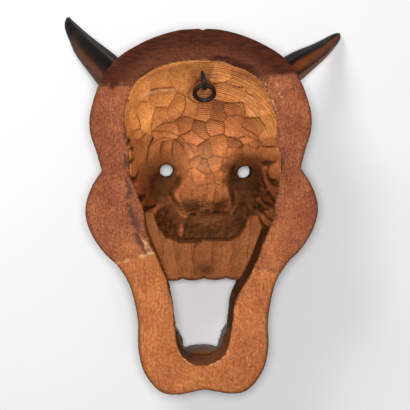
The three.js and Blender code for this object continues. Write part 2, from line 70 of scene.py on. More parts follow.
def smooth_curve(points, step, closed=False):
    given = np.array(points, float)
    if closed:
        padded = np.vstack([given[-1], given, given[:2]])
    else:
        padded = np.vstack([2 * given[0] - given[1], given, 2 * given[-1] - given[-2]])
    dense = []
    t = np.linspace(0, 1, 24, endpoint=False)[:, None]
    for a, b, c, d in zip(padded, padded[1:], padded[2:], padded[3:]):
        before, here, after = (np.sqrt(np.linalg.norm(q - p)) for p, q in ((a, b), (b, c), (c, d)))
        leave = ((b - a) / before - (c - a) / (before + here) + (c - b) / here) * here
        reach = ((c - b) / here - (d - b) / (here + after) + (d - c) / after) * here
        dense.append(
            (2 * t**3 - 3 * t**2 + 1) * b + (t**3 - 2 * t**2 + t) * leave
            + (3 * t**2 - 2 * t**3) * c + (t**3 - t**2) * reach
        )
    line = np.vstack(dense + [given[:1] if closed else given[-1:]])
    run = run_along(line)
    count = max(2, round(run[-1] / step))
    even = np.linspace(0, run[-1], count + 1)
    spaced = np.stack([np.interp(even, run, line[:, k]) for k in (0, 1)], axis=1)
    return spaced[:-1] if closed else spaced


def run_along(line):
    """The length of a line up to each of its points"""
    return np.append(0, np.cumsum(np.linalg.norm(np.diff(line, axis=0), axis=1)))


def nearest(line, x, y, closed=False):
    """The distance to a line of points, and the share of the way along it"""
    best = np.full(np.shape(x), np.inf)
    along = np.zeros(np.shape(x))
    ends = np.roll(line, -1, axis=0) if closed else line[1:]
    for i, (a, b) in enumerate(zip(line, ends)):
        u = b - a
        t = np.clip(((x - a[0]) * u[0] + (y - a[1]) * u[1]) / (u @ u), 0, 1)
        gap = np.hypot(x - a[0] - t * u[0], y - a[1] - t * u[1])
        along = np.where(gap < best, (i + t) / len(ends), along)
        best = np.minimum(best, gap)
    return best, along


def inside(edge, x, y):
    """The distance in from a closed edge, negative outside it"""
    within = np.zeros(np.shape(x), bool)
    for a, b in zip(edge, np.roll(edge, -1, axis=0)):
        if a[1] != b[1]:
            crosses = (a[1] > y) != (b[1] > y)
            within ^= crosses & (x < (b[0] - a[0]) * (y - a[1]) / (b[1] - a[1]) + a[0])
    gap, _ = nearest(edge, x, y, closed=True)
    return np.where(within, gap, -gap)


def share_out(edge, middle, x, y):
    """How far a place lies from a middle towards the edge round it, from 0 to 1"""
    dx, dy = x - middle[0], y - middle[1]
    best = np.zeros(np.shape(x))
    for a, b in zip(edge, np.roll(edge, -1, axis=0)):
        u, v = b - a, a - middle
        cross = dx * u[1] - dy * u[0]
        cross = np.where(np.abs(cross) < 1e-9, 1e-9, cross)
        along = (v[0] * dy - v[1] * dx) / cross
        out = (v[0] * u[1] - v[1] * u[0]) / cross
        hit = (along > -1e-6) & (along < 1 + 1e-6) & (out > 0)
        best = np.where(hit, np.maximum(best, 1 / np.where(hit, out, 1)), best)
    return np.minimum(best, 1)


def rumple(x, y, size, seed, octaves=3, z=0):
    """Even, repeatable noise from about -1 to 1, made of turned waves"""
    turns = np.random.default_rng(seed)
    total = np.zeros(np.shape(x))
    strength = 0.0
    for octave in range(octaves):
        for _ in range(5):
            way = turns.normal(size=3)
            way *= 2 * math.pi / (size * np.linalg.norm(way)) * 1.9**octave
            bend = 0.9 * np.sin((x * way[1] + y * way[2] + z * way[0]) * 0.61 + turns.uniform(0, 6.3))
            total += 0.6**octave * np.sin(x * way[0] + y * way[1] + z * way[2] + bend + turns.uniform(0, 6.3))
        strength += 0.6**octave * 1.7
    return total / strength


# the right half of the outer edge, from the crown to the chin
CROWN = [
    (0, 153.6), (18, 152.3), (36.4, 147.6), (55, 139.5), (72, 128.6), (85.5, 111.5),
    (92.8, 94), (97, 76), (96, 62), (91.5, 48), (87, 31),
]
JAW = [
    (87, 31), (96.5, 16), (102, -4), (97.5, -23), (86, -41), (75, -52), (66, -66), (60, -86),
    (57.2, -106), (57.4, -128), (52, -149), (38, -165.5), (25, -168.3), (12, -166.4), (0, -164),
]
# the hollow's edge, from the crown round to the right
HOLLOW_EDGE = [
    (-7, 126.4), (15.5, 125.3), (30, 121), (45.9, 113.7), (56.3, 103), (61.5, 90.4), (66.2, 78),
    (67, 64), (66, 56.5), (69, 47), (69.7, 34.9), (68.3, 17.8), (65, 2), (63, -13), (56.3, -27.5),
    (44.5, -57), (36, -72), (28.6, -86), (25.6, -104), (23.2, -120.5), (19, -132.5), (10, -139.6),
    (0.5, -141.6), (-11.5, -140), (-19.7, -132), (-23.8, -122), (-25, -107), (-27.5, -84),
    (-32, -66), (-38.5, -50), (-45.5, -33), (-50.1, -15.9), (-51.6, -2.7), (-57.5, 12.7),
    (-62.3, 26.3), (-63.1, 44.6), (-64.6, 58.6), (-67, 75.1), (-64.3, 91.9), (-56.9, 107.1),
    (-40.2, 119), (-22, 124.8),
]
half_rim = np.vstack([smooth_curve(CROWN, 1.5)[:-1], smooth_curve(JAW, 1.5)])
rim_line = np.vstack([half_rim, half_rim[-2:0:-1] * (-1, 1)])
rim_line[:, 1] -= 1.3 * mound(rim_line[:, 0] - 2.3, 0, 1.8, 1) * (rim_line[:, 1] > 0)
hollow_line = smooth_curve(HOLLOW_EDGE, 1.0, closed=True)
coarse_rim = rim_line[::3]
coarse_hollow = hollow_line[::4]

# in the hollow: the plate behind the upper teeth, the back of the nose, and the recess between them
HOLLOW_DEPTH = 64
HOLLOW_MIDDLE = np.array([3.0, 22.0])
TOOTH_EDGE = -70.2
EYE_HOLES = [(-29.5, 27.3), (42.3, 25.0)]
PLATE = [
    (-58, -6), (-49, -8), (-42, -11), (-38.5, -22), (-31, -33), (-22, -36.3), (3, -36.2),
    (27, -36.8), (36, -33), (41, -25), (44, -17), (48, -13.4), (53, -15.4), (56, -20.5), (58, -27),
    (72, -34), (72, -90), (-58, -90),
]
NOSE_BACK = [
    (-0.5, 29), (-9, 26), (-15.5, 21.5), (-21.5, 14.5), (-26, 8.5), (-24.5, 3), (-20, -5), (-15, -13.5),
    (-5, -15.5), (6.7, -15), (18.5, -14.5), (28, -12), (31.5, -1), (29.5, 10), (26.5, 16.5), (19, 21),
    (12, 24.5), (5, 27),
]
RECESS = [
    (-33, -5), (-40, -10), (-42, -16), (-40, -26), (-34, -37), (-22, -40), (27, -40), (38, -37),
    (45, -27), (49, -15), (43, -5), (33, -6), (0, -8), (-28, -4),
]
RECESS_RIDGE = np.array([(-38, 0), (-36.5, -8), (-33, -18), (-28.5, -28), (-24, -35)])
plate_line = np.array(PLATE, float)
recess_line = smooth_curve(RECESS, 3.0, closed=True)
nose_back_line = smooth_curve(NOSE_BACK, 3.0, closed=True)

# the gouge cuts of the forehead and the nose, each by its middle
CUTS = np.array([
    (-60.7, 76.7), (-49.6, 80.8), (-51.5, 103.8), (-35.5, 108.7), (-15.6, 112.3), (-33.3, 93.9),
    (-34.5, 77.7), (2.8, 120.1), (2.4, 102.3), (19.1, 115.6), (20.2, 100.4), (33.2, 109.5),
    (51.4, 100.4), (58.9, 87.2), (31.8, 95.3), (46.1, 86.2), (-18.6, 84.8), (-8.4, 81.8),
    (3.5, 80.5), (17.5, 79.8), (30.7, 83.0), (-12.3, 70.5), (-28.3, 63.4), (1.3, 65.2),
    (14.3, 68.5), (31.6, 70.0), (51.2, 66.7), (41.5, 57.0), (-5.0, 57.3), (5.7, 46.3),
    (18.9, 51.2), (32.9, 51.2), (62.7, 72.9), (60.4, 59.6), (-60.4, 59.1), (-51.2, 49.8),
    (-41.1, 46.3), (-28.5, 45.7), (-18.7, 43.7), (-6.8, 46.5), (45.5, 44.6), (-19.4, 32.6),
    (5.7, 31.3), (-3.4, 35.4), (12.6, 33.4), (29.7, 32.1), (32.9, 42.0), (-47.0, 31.0),
    (52.0, 28.0), (-30.0, 12.0), (41.0, 8.0), (-14.5, 15.0), (-8.7, 17.4), (0.4, 21.8),
    (9.4, 19.4), (19.5, 21.5), (26.5, 13.0), (-0.9, 8.0), (10.5, 7.5), (18.0, 5.0),
    (-19.0, 6.0), (-11.5, 3.0), (-12.4, -5.7), (25.5, 1.0), (4.5, -4.0), (20.0, -7.0),
])
# the rounded lumps left down both inner sides, each with its middle, half width, half height, lean
# and brightness, which is its tone with painted light in it, and the notches between them, darkened with painted shade
SIDE_LUMPS = [
    (-45.5, 2.5, 7.0, 6.0, 0.3, -0.7), (-51.8, 1.8, 2.9, 3.8, 0.3, 1.0), (-54.5, 13.5, 5.6, 6.5, 0.3, 0.2),
    (-59.8, 32.5, 4.0, 7.6, 0.1, 1.7), (-61.8, 46.0, 3.2, 6.0, 0.1, 0.2), (59.4, -17.2, 3.6, 5.0, 0.3, 0.3),
    (61.6, -9.0, 3.6, 4.8, 0.3, 0.6), (57.0, -1.8, 4.4, 4.4, 0.3, 0.0), (61.0, 4.0, 4.4, 5.4, 0.3, -0.4),
    (56.5, 14.0, 5.5, 7.0, 0.3, -0.9), (67.0, 13.0, 2.4, 5.4, 0.2, 0.5), (61.2, 18.5, 3.2, 14.5, 0.32, 0.6),
    (65.8, 27.8, 4.6, 8.6, 0.12, 1.1), (59.0, 43.5, 8.4, 7.6, 0.0, 0.1),
]
NOTCHES = [
    (-63.2, 57.1, 1.5, 3.4), (-60.4, 50.4, 1.5, 3.0), (-61.0, 23.0, 2.8, 3.2), (-54.6, 6.4, 3.6, 2.6),
    (-50.4, -5.2, 3.0, 2.8), (58.8, 35.0, 3.6, 2.8), (54.0, 13.0, 4.2, 5.0), (65.6, 19.4, 1.6, 2.4),
    (63.8, 2.6, 1.6, 3.4), (56.2, -9.6, 3.0, 3.6), (61.4, -14.2, 1.8, 1.0), (60.0, 49.6, 7.0, 1.0),
]
# the creases over the eyes, and two short ones above the left eye
EYE_CREASES = [
    np.array([(-1.8, 39), (-7, 49), (-15, 57.5), (-25, 62.5), (-38, 64.5), (-52, 62)]),
    np.array([(-11, 45), (-16, 52), (-22.5, 56.5), (-32, 58), (-41, 54.5)]),
    np.array([(-34.4, 53.5), (-34.7, 41)]), np.array([(-23.4, 52.5), (-24.6, 40.5)]),
    np.array([(23, 41), (27, 49), (33.6, 55.5), (43, 59), (53, 54), (57, 49.5)]),
    np.array([(33, 43), (37, 49.5), (43, 51.5), (49, 47)]),
]
# the middle of the fan that the cuts spread in, the flutes on the nose, the edges of the long strokes on
# the plate, and a pale chip over the large cuts at the upper left
FAN_MIDDLE = np.array([3.0, 30.0])
NOSE_FLUTES = (-15.5, -8.5, -1.5, 5.5, 12.5, 20, 26)
PLATE_STROKES = (-52, -35, -22.5, -7, 11, 28.5, 43, 62)
PALE_CHIP = np.array([(-51, 95.4), (-44, 98.4), (-35, 100.4), (-21, 100.8)])


def from_fan(x, y):
    return np.hypot(x - FAN_MIDDLE[0], y - FAN_MIDDLE[1])


def eye_gap(x, y):
    return np.minimum(*(np.hypot(x - a, y - b) for a, b in EYE_HOLES))


def cuts_at(x, y):
    """Each place's cut, the gap to the next cut, the distance to its own middle, and its crease's weight"""
    wave_x, wave_y = x + 1.2 * rumple(x, y, 26, 3, 1), y + 1.2 * rumple(x, y, 26, 4, 1)
    reach = np.random.default_rng(8).uniform(0.86, 1.16, len(CUTS)) * (0.72 + 0.006 * from_fan(*CUTS.T))
    first, second = np.full((2, *np.shape(x)), np.inf)
    mine, other = np.zeros((2, *np.shape(x)), int)
    for i, (a, b) in enumerate(CUTS):
        gap = np.hypot(wave_x - a, wave_y - b) / reach[i]
        other = np.where(gap < first, mine, np.where(gap < second, i, other))
        second = np.where(gap < first, first, np.minimum(second, gap))
        mine = np.where(gap < first, i, mine)
        first = np.minimum(first, gap)
    step, spoke = CUTS[mine] - CUTS[other], CUTS[mine] - FAN_MIDDLE
    lengths = np.linalg.norm(step, axis=-1) * np.linalg.norm(spoke, axis=-1)
    lined_up = np.abs((step * spoke).sum(axis=-1)) / (lengths + 1e-6)
    weight = (0.45 + 0.55 * lined_up) * (0.62 + 0.38 * np.sin(mine * 7.1 + other * 7.1))
    return mine, second - first, first, weight


def hollow_cut(x, y):
    """How deep the hollow is under the rim at a place, with what the cutting left there"""
    share = share_out(coarse_hollow, HOLLOW_MIDDLE, x, y)
    edge = inside(coarse_hollow, x, y)
    depth = HOLLOW_DEPTH * (1 - share ** mix(2.4, 14, ease(34, -10, y)))
    depth += 9 * mound(x + 31, y - 19, 19, 21, 3) + 10 * mound(x - 43, y - 14, 17, 21, 3)
    depth -= 6 * mound(x - FACE_X, y - 44, 15, 22)

    # nose: it leans out from the bridge, with flutes down its top and two nostrils below
    nose = inside(nose_back_line, x, y)
    top = 46 + 9 * ease(-2, 32, y) + 13 * ease(3, -15, y) + 6 * (np.abs(x - FACE_X) / 27) ** 3
    top += 4 * mound(x + 5.4, y + 12, 4.2, 3.4) + 4 * mound(x - 15.3, y + 10.5, 4.2, 3.4)
    top += 0.5 * rumple(x, y, 9, 21) - 2 * mound(x + 12, y + 2, 6, 6) - 2 * mound(x - 20, y + 1, 6, 6)
    flutes = np.minimum.reduce([np.abs(x - a - 0.08 * (y - 10)) for a in NOSE_FLUTES])
    top -= 0.9 * ease(2.4, 0, flutes) * ease(-4, 4, y) * ease(26, 20, y)
    upper, lower = ease(12, 27, y), ease(0, -10, y)
    rumpled_nose = nose + 0.7 * rumple(x, y, 13, 26)
    depth = mix(depth, top, ease(mix(-2, -6, upper) - 3 * lower, mix(3.5, 6, upper), rumpled_nose))

    # the recess behind the upper lip, with a rough ridge along its left end and a lump in its floor
    rough = rumple(x, y, 8, 22)
    recess = ease(-2, 3.5, inside(recess_line, x, y)) * ease(2, mix(-4, -8, lower), nose)
    depth = mix(depth, 62 + 6 * ease(-12, -32, y) + rough, recess)
    ridge, _ = nearest(RECESS_RIDGE, x, y)
    depth -= (9.5 + 2.2 * rumple(x, y, 6.5, 23)) * mound(ridge, 0, 6, 1, 3) * recess
    depth -= 3.5 * mound(x + 16.5, y + 28, 2.6, 7, 3) * recess

    # gouge cuts, each a shallow scoop whose upper end lies under the one above it
    mine, between, own, weight = cuts_at(x, y)
    place = CUTS[mine]
    out = np.where(y < 32, y - place[..., 1], from_fan(x, y) - from_fan(place[..., 0], place[..., 1]))
    plate = inside(plate_line, x, y)
    on_plate = ease(-1.2, 0.8, plate)
    side = ease(0.76, 0.84, share) * ease(60, 54, y) * ease(-22, -16, y)
    well = ease(25, 17, eye_gap(x, y)) * ease(8, 16, np.abs(x - 6)) * ease(-8, 2, y)
    calm = ease(1.2, 5, edge) * (1 - recess) * (1 - side) * ease(-12, -4, y) * (1 - 0.9 * well)
    calm *= (1 - 0.75 * ease(0, 4, nose) * ease(22, 12, y)) * (1 - ease(16, 4, y) * ease(2, -2, nose))
    depth += calm * (1.2 - 0.021 * np.minimum(own, 10) ** 2 + 0.10 * np.clip(out, -8, 8))
    faint = mix(1, 0.65, ease(66, 84, y)) * (1 - 0.3 * mound(x - 4, y - 32, 26, 20, 3))
    crease = calm * mix(0.3, 1.5, weight) * ease(mix(0.45, 0.85, weight), 0.1, between) * faint
    # dirt and painted shade beside the creases
    crease_dirt_and_shade = calm * ease(3.2, 0, between) * mix(0.3, 1, weight) * mix(1, 0.6, ease(66, 84, y))
    for line in EYE_CREASES:
        gap, along = nearest(line, x, y)
        strength = np.sin(np.pi * np.clip(along, 0.02, 0.98)) ** 0.5
        crease = np.maximum(crease, 0.8 * strength * ease(0.8, 0.15, gap + 0.3 * rumple(x, y, 14, 27)))
        crease_dirt_and_shade = np.maximum(crease_dirt_and_shade, 0.9 * strength * ease(3, 0, gap))

    # rounded lumps down both sides, painted lighter to the upper left, each with a painted shadow over the ones before
    # it, and painted shade in notches
    bulge, shadow, lump_tone_and_shading = 0 * x, 0 * x, 0 * x
    for k, (a, b, wide, tall, lean, lump_tone_and_light) in enumerate(SIDE_LUMPS):
        lump_x, lump_y = (x - a + lean * (y - b)) / wide, (y - b) / tall
        radius = (np.abs(lump_x) ** 2.5 + np.abs(lump_y) ** 2.5) ** 0.4
        radius = np.maximum(0, radius + 0.10 * rumple(x, y, 8, 28 + k))
        height = np.sqrt(np.clip(1 - radius**2.5, 0, 1))
        cover = ease(0, 0.4, height)
        shadow = np.maximum(shadow, ease(1.5, 1, np.hypot(lump_x + 0.3, lump_y + 0.36))) * (1 - cover)
        lump_tone_and_shading = mix(lump_tone_and_shading, lump_tone_and_light + 0.8 * lump_y - 0.5 * lump_x, cover)
        bulge = np.maximum(bulge, height)
    on_lump = ease(0, 0.4, bulge)
    notch = np.maximum.reduce([mound(x - a, y - b, wide, tall, 3) for a, b, wide, tall in NOTCHES])
    gap_shadow = shadow * ease(0.72, 0.8, share) * (0.95 + 0.25 * rumple(x, y, 7, 29))
    depth += 1.6 * notch + 0.9 * gap_shadow + 0.35 * crease - 2.4 * bulge

    # the chip's step
    chip, along = nearest(PALE_CHIP, x, y)
    depth += 0.9 * mound(chip, 0, 7, 1) * ease(0, 2.2, chip) * (y < 99) * ease(0, 0.1, along) * ease(1, 0.9, along)

    # the plate behind the upper teeth, cut with long strokes
    flat = 54 + 1.6 * mound(x - 5, y + 64, 9, 9) + 0.5 * rumple(x, y, 26, 24)
    stroke_tone_and_shade, stroke_gap = 0 * x, np.inf + 0 * x
    for a, b in zip(PLATE_STROKES, PLATE_STROKES[1:]):
        start = x - a - 0.10 * (y + 50) * np.sign(a + b)
        across = start / (b - a)
        on_stroke = (across > 0) & (across < 1)
        flat += np.where(on_stroke, 5.2 * across * (1 - across) - 0.9, 0)
        stroke_gap = np.minimum(stroke_gap, np.abs(start))
        # each stroke's own tone, painted lighter from one side of it to the other
        stroke_tone_and_shade = np.where(on_stroke, 0.7 * np.sin(0.37 * a + 1) + across - 0.5, stroke_tone_and_shade)
    depth = mix(depth, flat, on_plate)
    stroke = ease(0.9, 0.2, stroke_gap) * ease(-66, -54, y) * ease(-0.2, 0.4, rumple(x, y, 21, 25))
    under_edge, _ = nearest(np.array([(-20, -37.4), (-8, -37.6), (1, -37.2)]), x, y)
    splinter, _ = nearest(np.array([(0.5, -37.2), (-3, -40), (-4.6, -42.8)]), x, y)
    crease = np.maximum.reduce([
        crease * (1 - on_plate), 0.7 * on_plate * stroke, ease(1.6, 0.6, under_edge), ease(0.9, 0.3, splinter),
        0.5 * ease(1.2, 0.2, np.abs(plate + 0.4)) * ease(-8, -14, y),
    ])

    # the floor behind the lower teeth
    depth = np.where(y < TOOTH_EDGE - 8, 58 + 0.5 * rough, depth)

    shade = np.random.default_rng(5).uniform(-1, 1, len(CUTS))[mine]
    off_plate = 1 - on_plate
    lumpy = np.maximum(side, on_lump) * off_plate
    ringed = (1 + 0.1 * well) * mix(1, mix(0.3, 1.5, ease(-10, 10, x)), lumpy)
    ringed *= np.abs(2 * well - 1) * np.abs(2 * lumpy - 1) * (1 - 0.9 * on_plate) * (1 - 0.8 * recess)
    marks = {
        # groove: dark crease lines, with dirt and painted shade beside them, and dark patches in the recess
        "groove": np.clip(np.maximum(crease, 0.26 * crease_dirt_and_shade * off_plate) + 0.25 * recess * ease(-0.2, -0.9, rough), 0, 1),
        # tone: each cut's own tone, painted darker towards its outer end, the lumps' tone with their painted light, and
        # the plate strokes' tone with their painted light
        "tone": (calm * (1.15 * shade - 0.45 * np.clip(out / 8, -1, 1)) + on_lump * lump_tone_and_shading) * off_plate
        + 0.6 * on_plate * stroke_tone_and_shade,
        "recess": recess,
        "plate": on_plate,
        "rough": np.maximum(side, bulge) * off_plate,
        # painted shade in the gaps and notches between the lumps, and the lumps' tone with its painted light
        "under": np.maximum(gap_shadow, notch) * off_plate,
        "reach": np.select([lumpy > 0.5, well > 0.5], [0.86 * x - 0.5 * y, eye_gap(x, y)], from_fan(x, y)),
        "lump_tone_and_light": np.clip(lump_tone_and_shading, 0, 1) * ease(0.2, 0.7, bulge) * off_plate,
        "rings": ringed + 1.6 * recess * mound(x - 37, y + 18, 6, 11, 3),
        "share": share,
        "edge": edge,
    }
    return np.maximum(depth, 0.9), marks


# on the face: the gaps between the upper teeth, the eyeballs, and half of the lips' edge; then its rounded
# lumps (nose, its bridge and wings, and chin) and its fangs, each by its root, its tip and its radius
TOOTH_GAPS = [-35, -16.7, 3, 24, 38.5]
EYE_BALLS = [(-31, 25.5), (40.5, 24.5)]
LIPS = [
    (3, -38), (20, -37), (40, -37), (53, -43), (53.5, -57), (46, -78), (39, -100),
    (33.5, -122), (26, -139), (14, -146), (3, -147),
]
FACE_LUMPS = [
    ((3, 2, 82), (15, 17, 30)), ((3, 24, 74), (11, 28, 20)), ((-15, -3, 77), (12.5, 13, 21)),
    ((21, -3, 77), (12.5, 13, 21)), ((2, -154, 76), (29, 12, 36)),
]
FANGS = [
    ((-36, -42, 70), (-29, -91, 77), 6.4), ((42, -42, 70), (35, -91, 77), 6.4),
    ((-19.5, -147, 72), (-22.5, -117, 86), 6.2), ((20.5, -147, 72), (23.5, -117, 86), 6.2),
]
lip_line = smooth_curve(LIPS + [(2 * FACE_X - x, y) for x, y in LIPS[-2:0:-1]], 4.0, closed=True)


def round_top(offset, power=2):
    """The height of a rounded top at an offset from its middle, from 1 there to 0 at an offset of 1"""
    return np.sqrt(np.clip(1 - np.abs(offset) ** power, 0, 1))


def egg(x, y, middle, half):
    """The depth of a rounded lump's far side, or 0 beside it"""
    left = 1 - ((x - middle[0]) / half[0]) ** 2 - ((y - middle[1]) / half[1]) ** 2
    return np.where(left > 0, middle[2] + half[2] * np.sqrt(np.maximum(left, 0)), 0)


def beside_face_line(points, way, x, y):
    """The distance to a line on one side of the face, and the share of the way along it"""
    return nearest(smooth_curve([(FACE_X + way * a, b) for a, b in points], 3), x, y)


def face_cut(x, y):
    """How far the carved face stands forward of the rim at a place, with its painted places"""
    across = np.abs(x - FACE_X)
    margin = np.maximum(0, inside(coarse_rim, x, y))
    wall = mix(24, 42, ease(-10, -90, y)) + 20 * ease(-110, -165, y)
    dome = 73 - 3 * ease(20, 120, y)
    depth = wall + (dome - wall) * np.sqrt(1 - np.exp(-margin / mix(26, 16, ease(-20, -80, y))))

    # brows, a frown, wrinkles, cheeks, and a fold beside each cheek
    depth += 6 * mound(across - 32, y - 92, 26, 24)
    brow_mark = 0 * x
    for way in (-1, 1):
        gap, along = beside_face_line(((4, 40), (15, 48), (32, 58), (52, 64), (70, 60), (82, 48)), way, x, y)
        depth += np.exp(-((gap / 8.5) ** 2)) * (8 + 8 * np.sin(np.pi * along))
        brow_mark = np.maximum(brow_mark, ease(7, 2, gap))
    depth -= 6 * mound(x - FACE_X, y - 64, 3.2, 15)
    depth -= 4 * mound(across - 10 + (y - 70) * 0.33, y - 70, 3.2, 15)
    for height, deep in ((84, 1.6), (98, 1.3), (111, 1.0)):
        wave = height + 6 * np.cos(across / 16) - 0.10 * across
        depth -= deep * np.exp(-(((y - wave) / 2.4) ** 2)) * ease(62, 36, across)
    depth += 21 * mound(across - 63, y + 2, 22, 17, 2.4) + 9 * mound(across - 37, y - 1, 20, 12, 3)
    depth += 13 * mound(across, y + 25, 40, 14, 3)
    for a, b in EYE_BALLS:
        depth -= 5 * np.exp(-((np.hypot(x - a, (y - b) * 1.15) / 28) ** 6))
    for way in (-1, 1):
        gap, along = beside_face_line(((29, 2), (42, -6), (57, -18), (68, -34), (68, -52), (60, -70)), way, x, y)
        depth += 7 * np.exp(-((gap / 5.5) ** 2)) * np.sin(np.pi * np.clip(along, 0.001, 0.999)) ** 0.7

    # inside the lips, the upper teeth and the row of lower ones
    within = inside(lip_line, x, y)
    depth = mix(depth, 66, ease(-4, 0, within))
    gilt = 0 * x
    for a, b in zip(TOOTH_GAPS, TOOTH_GAPS[1:]):
        t = (x - a) / (b - a)
        tooth = (t > 0.02) & (t < 0.98) & (y < -43) & (y > -76) & (within > 0)
        depth = np.where(tooth, np.maximum(depth, 66 + 8 * round_top(2 * t - 1, 3.5)), depth)
        gilt = np.where(tooth, 1, gilt)
    low = (np.abs(x - 0.4) < 16) & (y > -146) & (y < -133)
    split = np.abs(np.sin(np.pi * (x + 15.2) / 31.2 * 4)) ** 0.4
    depth = np.where(low, np.maximum(depth, 66 + (10 + 2 * split) * ease(-133, -136.5, y)), depth)
    gilt = np.where(low, 1, gilt)

    # lips, eyes with their lids, nose, chin and fangs
    off_line = np.abs(-within - 3)
    lip_top = mix(83, 80, ease(-60, -110, y)) + 21 * ease(-118, -148, y)
    lip = np.where(off_line < 5.4, lip_top - 8 + 8 * round_top(off_line / 5.4), 0)
    red = np.where((lip > depth - 1) & (within > -7), 1.0, 0.0) * ease(-7.5, -5, within)
    red = np.maximum(red, ease(-1, 0, within) * (1 - gilt))
    depth = np.maximum(depth, lip)
    for a, b in EYE_BALLS:
        ball = egg(x, y, (a, b, 67), (20.5, 17.8, 21))
        gilt = np.where(ball > depth, 1, gilt)
        depth = np.maximum(depth, ball)
        rise = np.clip((y - b) / 18.2, -1, 1)
        half_lid = 3.2 + 0.6 * rise
        off_lid = np.abs(np.hypot((x - a) / 20.5, (y - b) / 18.2) - 1) * 19.3
        lid = np.where(off_lid < half_lid, 74 + 3 * rise + (5 + rise) * round_top(off_lid / half_lid), 0)
        gilt = np.where(lid > depth, 0, gilt)
        depth = np.maximum(depth, lid)
    for lump_middle, half in FACE_LUMPS:
        depth = np.maximum(depth, egg(x, y, lump_middle, half))
    for way in (-1, 1):
        depth -= 9 * mound(x - FACE_X - way * 12.5, y + 11, 4.2, 3.6, 3)
    for root, tip, radius in FANGS:
        share = (y - root[1]) / (tip[1] - root[1])
        t = np.clip(share, 0, 1)
        side = (x - mix(root[0], tip[0], t)) / (radius * (1 - 0.86 * t**1.6))
        fang = mix(root[2], tip[2], t) + 5 * np.sin(np.pi * t) + radius * (1.1 - 0.95 * t) * round_top(side)
        fang = np.where((share > 0) & (share < 1) & (np.abs(side) < 1), fang, 0)
        gilt = np.where(fang > depth, 1, gilt)
        red = np.where(fang > depth, 0, red)
        depth = np.maximum(depth, fang)
    return np.minimum(depth, RIM_HEIGHT), {"gilt": gilt, "red": red * (1 - gilt), "brow": brow_mark}


def rim_height(x, y):
    """The planed rim: nearly flat, its edges a little worn, with the jaw's arms cut a touch lower"""
    outer = np.maximum(0, inside(coarse_rim, x, y))
    inner = np.maximum(0, -inside(coarse_hollow, x, y))
    height = RIM_HEIGHT - 0.175 * (1 - rumple(x, y, 40, 41))
    on_jaw = ease(-56, -78, y)
    for gap, radius in ((outer, 1.2), (inner, 0.9)):
        t = np.clip(1 - gap / radius, 0, 1)
        height -= radius * (1 - np.sqrt(1 - 0.96 * t**2))
    height -= on_jaw * (2.2 * np.clip(1 - outer / 7, 0, 1) ** 2 + 1.2 * np.clip(1 - inner / 6, 0, 1) ** 2)
    height -= on_jaw * 0.35 * np.abs(rumple(x, y, 16, 45, 2))
    left_border = -50.2 + 0.27 * (x + 74) + 0.6 * rumple(x, y, 9, 43)
    right_border = -57 - 0.20 * (x - 44) + 0.6 * rumple(x, y, 9, 44)
    border = np.where(x < 0, left_border, right_border)
    height -= 0.7 * ease(border + 0.8, border - 0.8, y) + 0.9 * mound(x - 60.1, y + 45.7, 0.9, 0.9, 3)
    crack, _ = nearest(np.array([(-45.5, -142.5), (-44.6, -146.5), (-43.2, -150)]), x, y)
    height -= ease(0.9, 0.1, crack)
    return height, outer, inner, border


def edge_rows(loop, gaps):
    """Points beside a loop, at each of the distances to its inner side"""
    way = np.roll(loop, -1, axis=0) - np.roll(loop, 1, axis=0)
    way = way / np.linalg.norm(way, axis=1)[:, None]
    side = np.stack([-way[:, 1], way[:, 0]], axis=1)
    return np.vstack([loop + side * gap for gap in gaps])


def staggered(across, up, half_step):
    """The points of a grid whose every second row is moved along by half a step"""
    across, up = np.meshgrid(across, up)
    across = across + half_step * (np.arange(len(across)) % 2)[:, None]
    return across.ravel(), up.ravel()


def triangles(points, edges):
    """Points joined by triangles that keep to the given edges, with each triangle's middle"""
    found, _, faces, *_ = delaunay_2d_cdt([Vector(p) for p in points], edges, [], 0, 1e-5)
    found, faces = np.array([(p.x, p.y) for p in found]), np.array(faces)
    return found, faces, found[faces].mean(axis=1)


def net(loops, spacing, holds, extra=()):
    """Triangles over a level plan, along its loops and between them"""
    edges, start = [], 0
    for loop in loops:
        edges += [(start + i, start + (i + 1) % len(loop)) for i in range(len(loop))]
        start += len(loop)
    rows = np.arange(-170, 156, spacing * 0.866)
    grid = np.column_stack(staggered(np.arange(-105, 106, spacing), rows, spacing / 2))
    grid = grid + chance.uniform(-0.13, 0.13, grid.shape) * spacing
    grid = grid[holds(*grid.T) > spacing * 0.55]
    found, faces, middles = triangles([tuple(p) for part in (*loops, extra, grid) for p in part], edges)
    return found, faces[holds(*middles.T) > 0]


MARKS = (
    "groove", "tone", "stain", "grey", "old", "pale", "lacquer", "gilt", "red", "dark", "bowl", "lie", "reach", "ruddy",
)
# a wall's waves fade out over this distance from its edges
FADE = 1.5
pieces = []


def take(points, faces, flip, **marks):
    """Keep one surface of the mask, with what marks each of its points"""
    full = {name: np.broadcast_to(np.asarray(marks.get(name, 0.0), float), len(points)) for name in MARKS}
    pieces.append((points, faces[:, ::-1] if flip else faces, full))


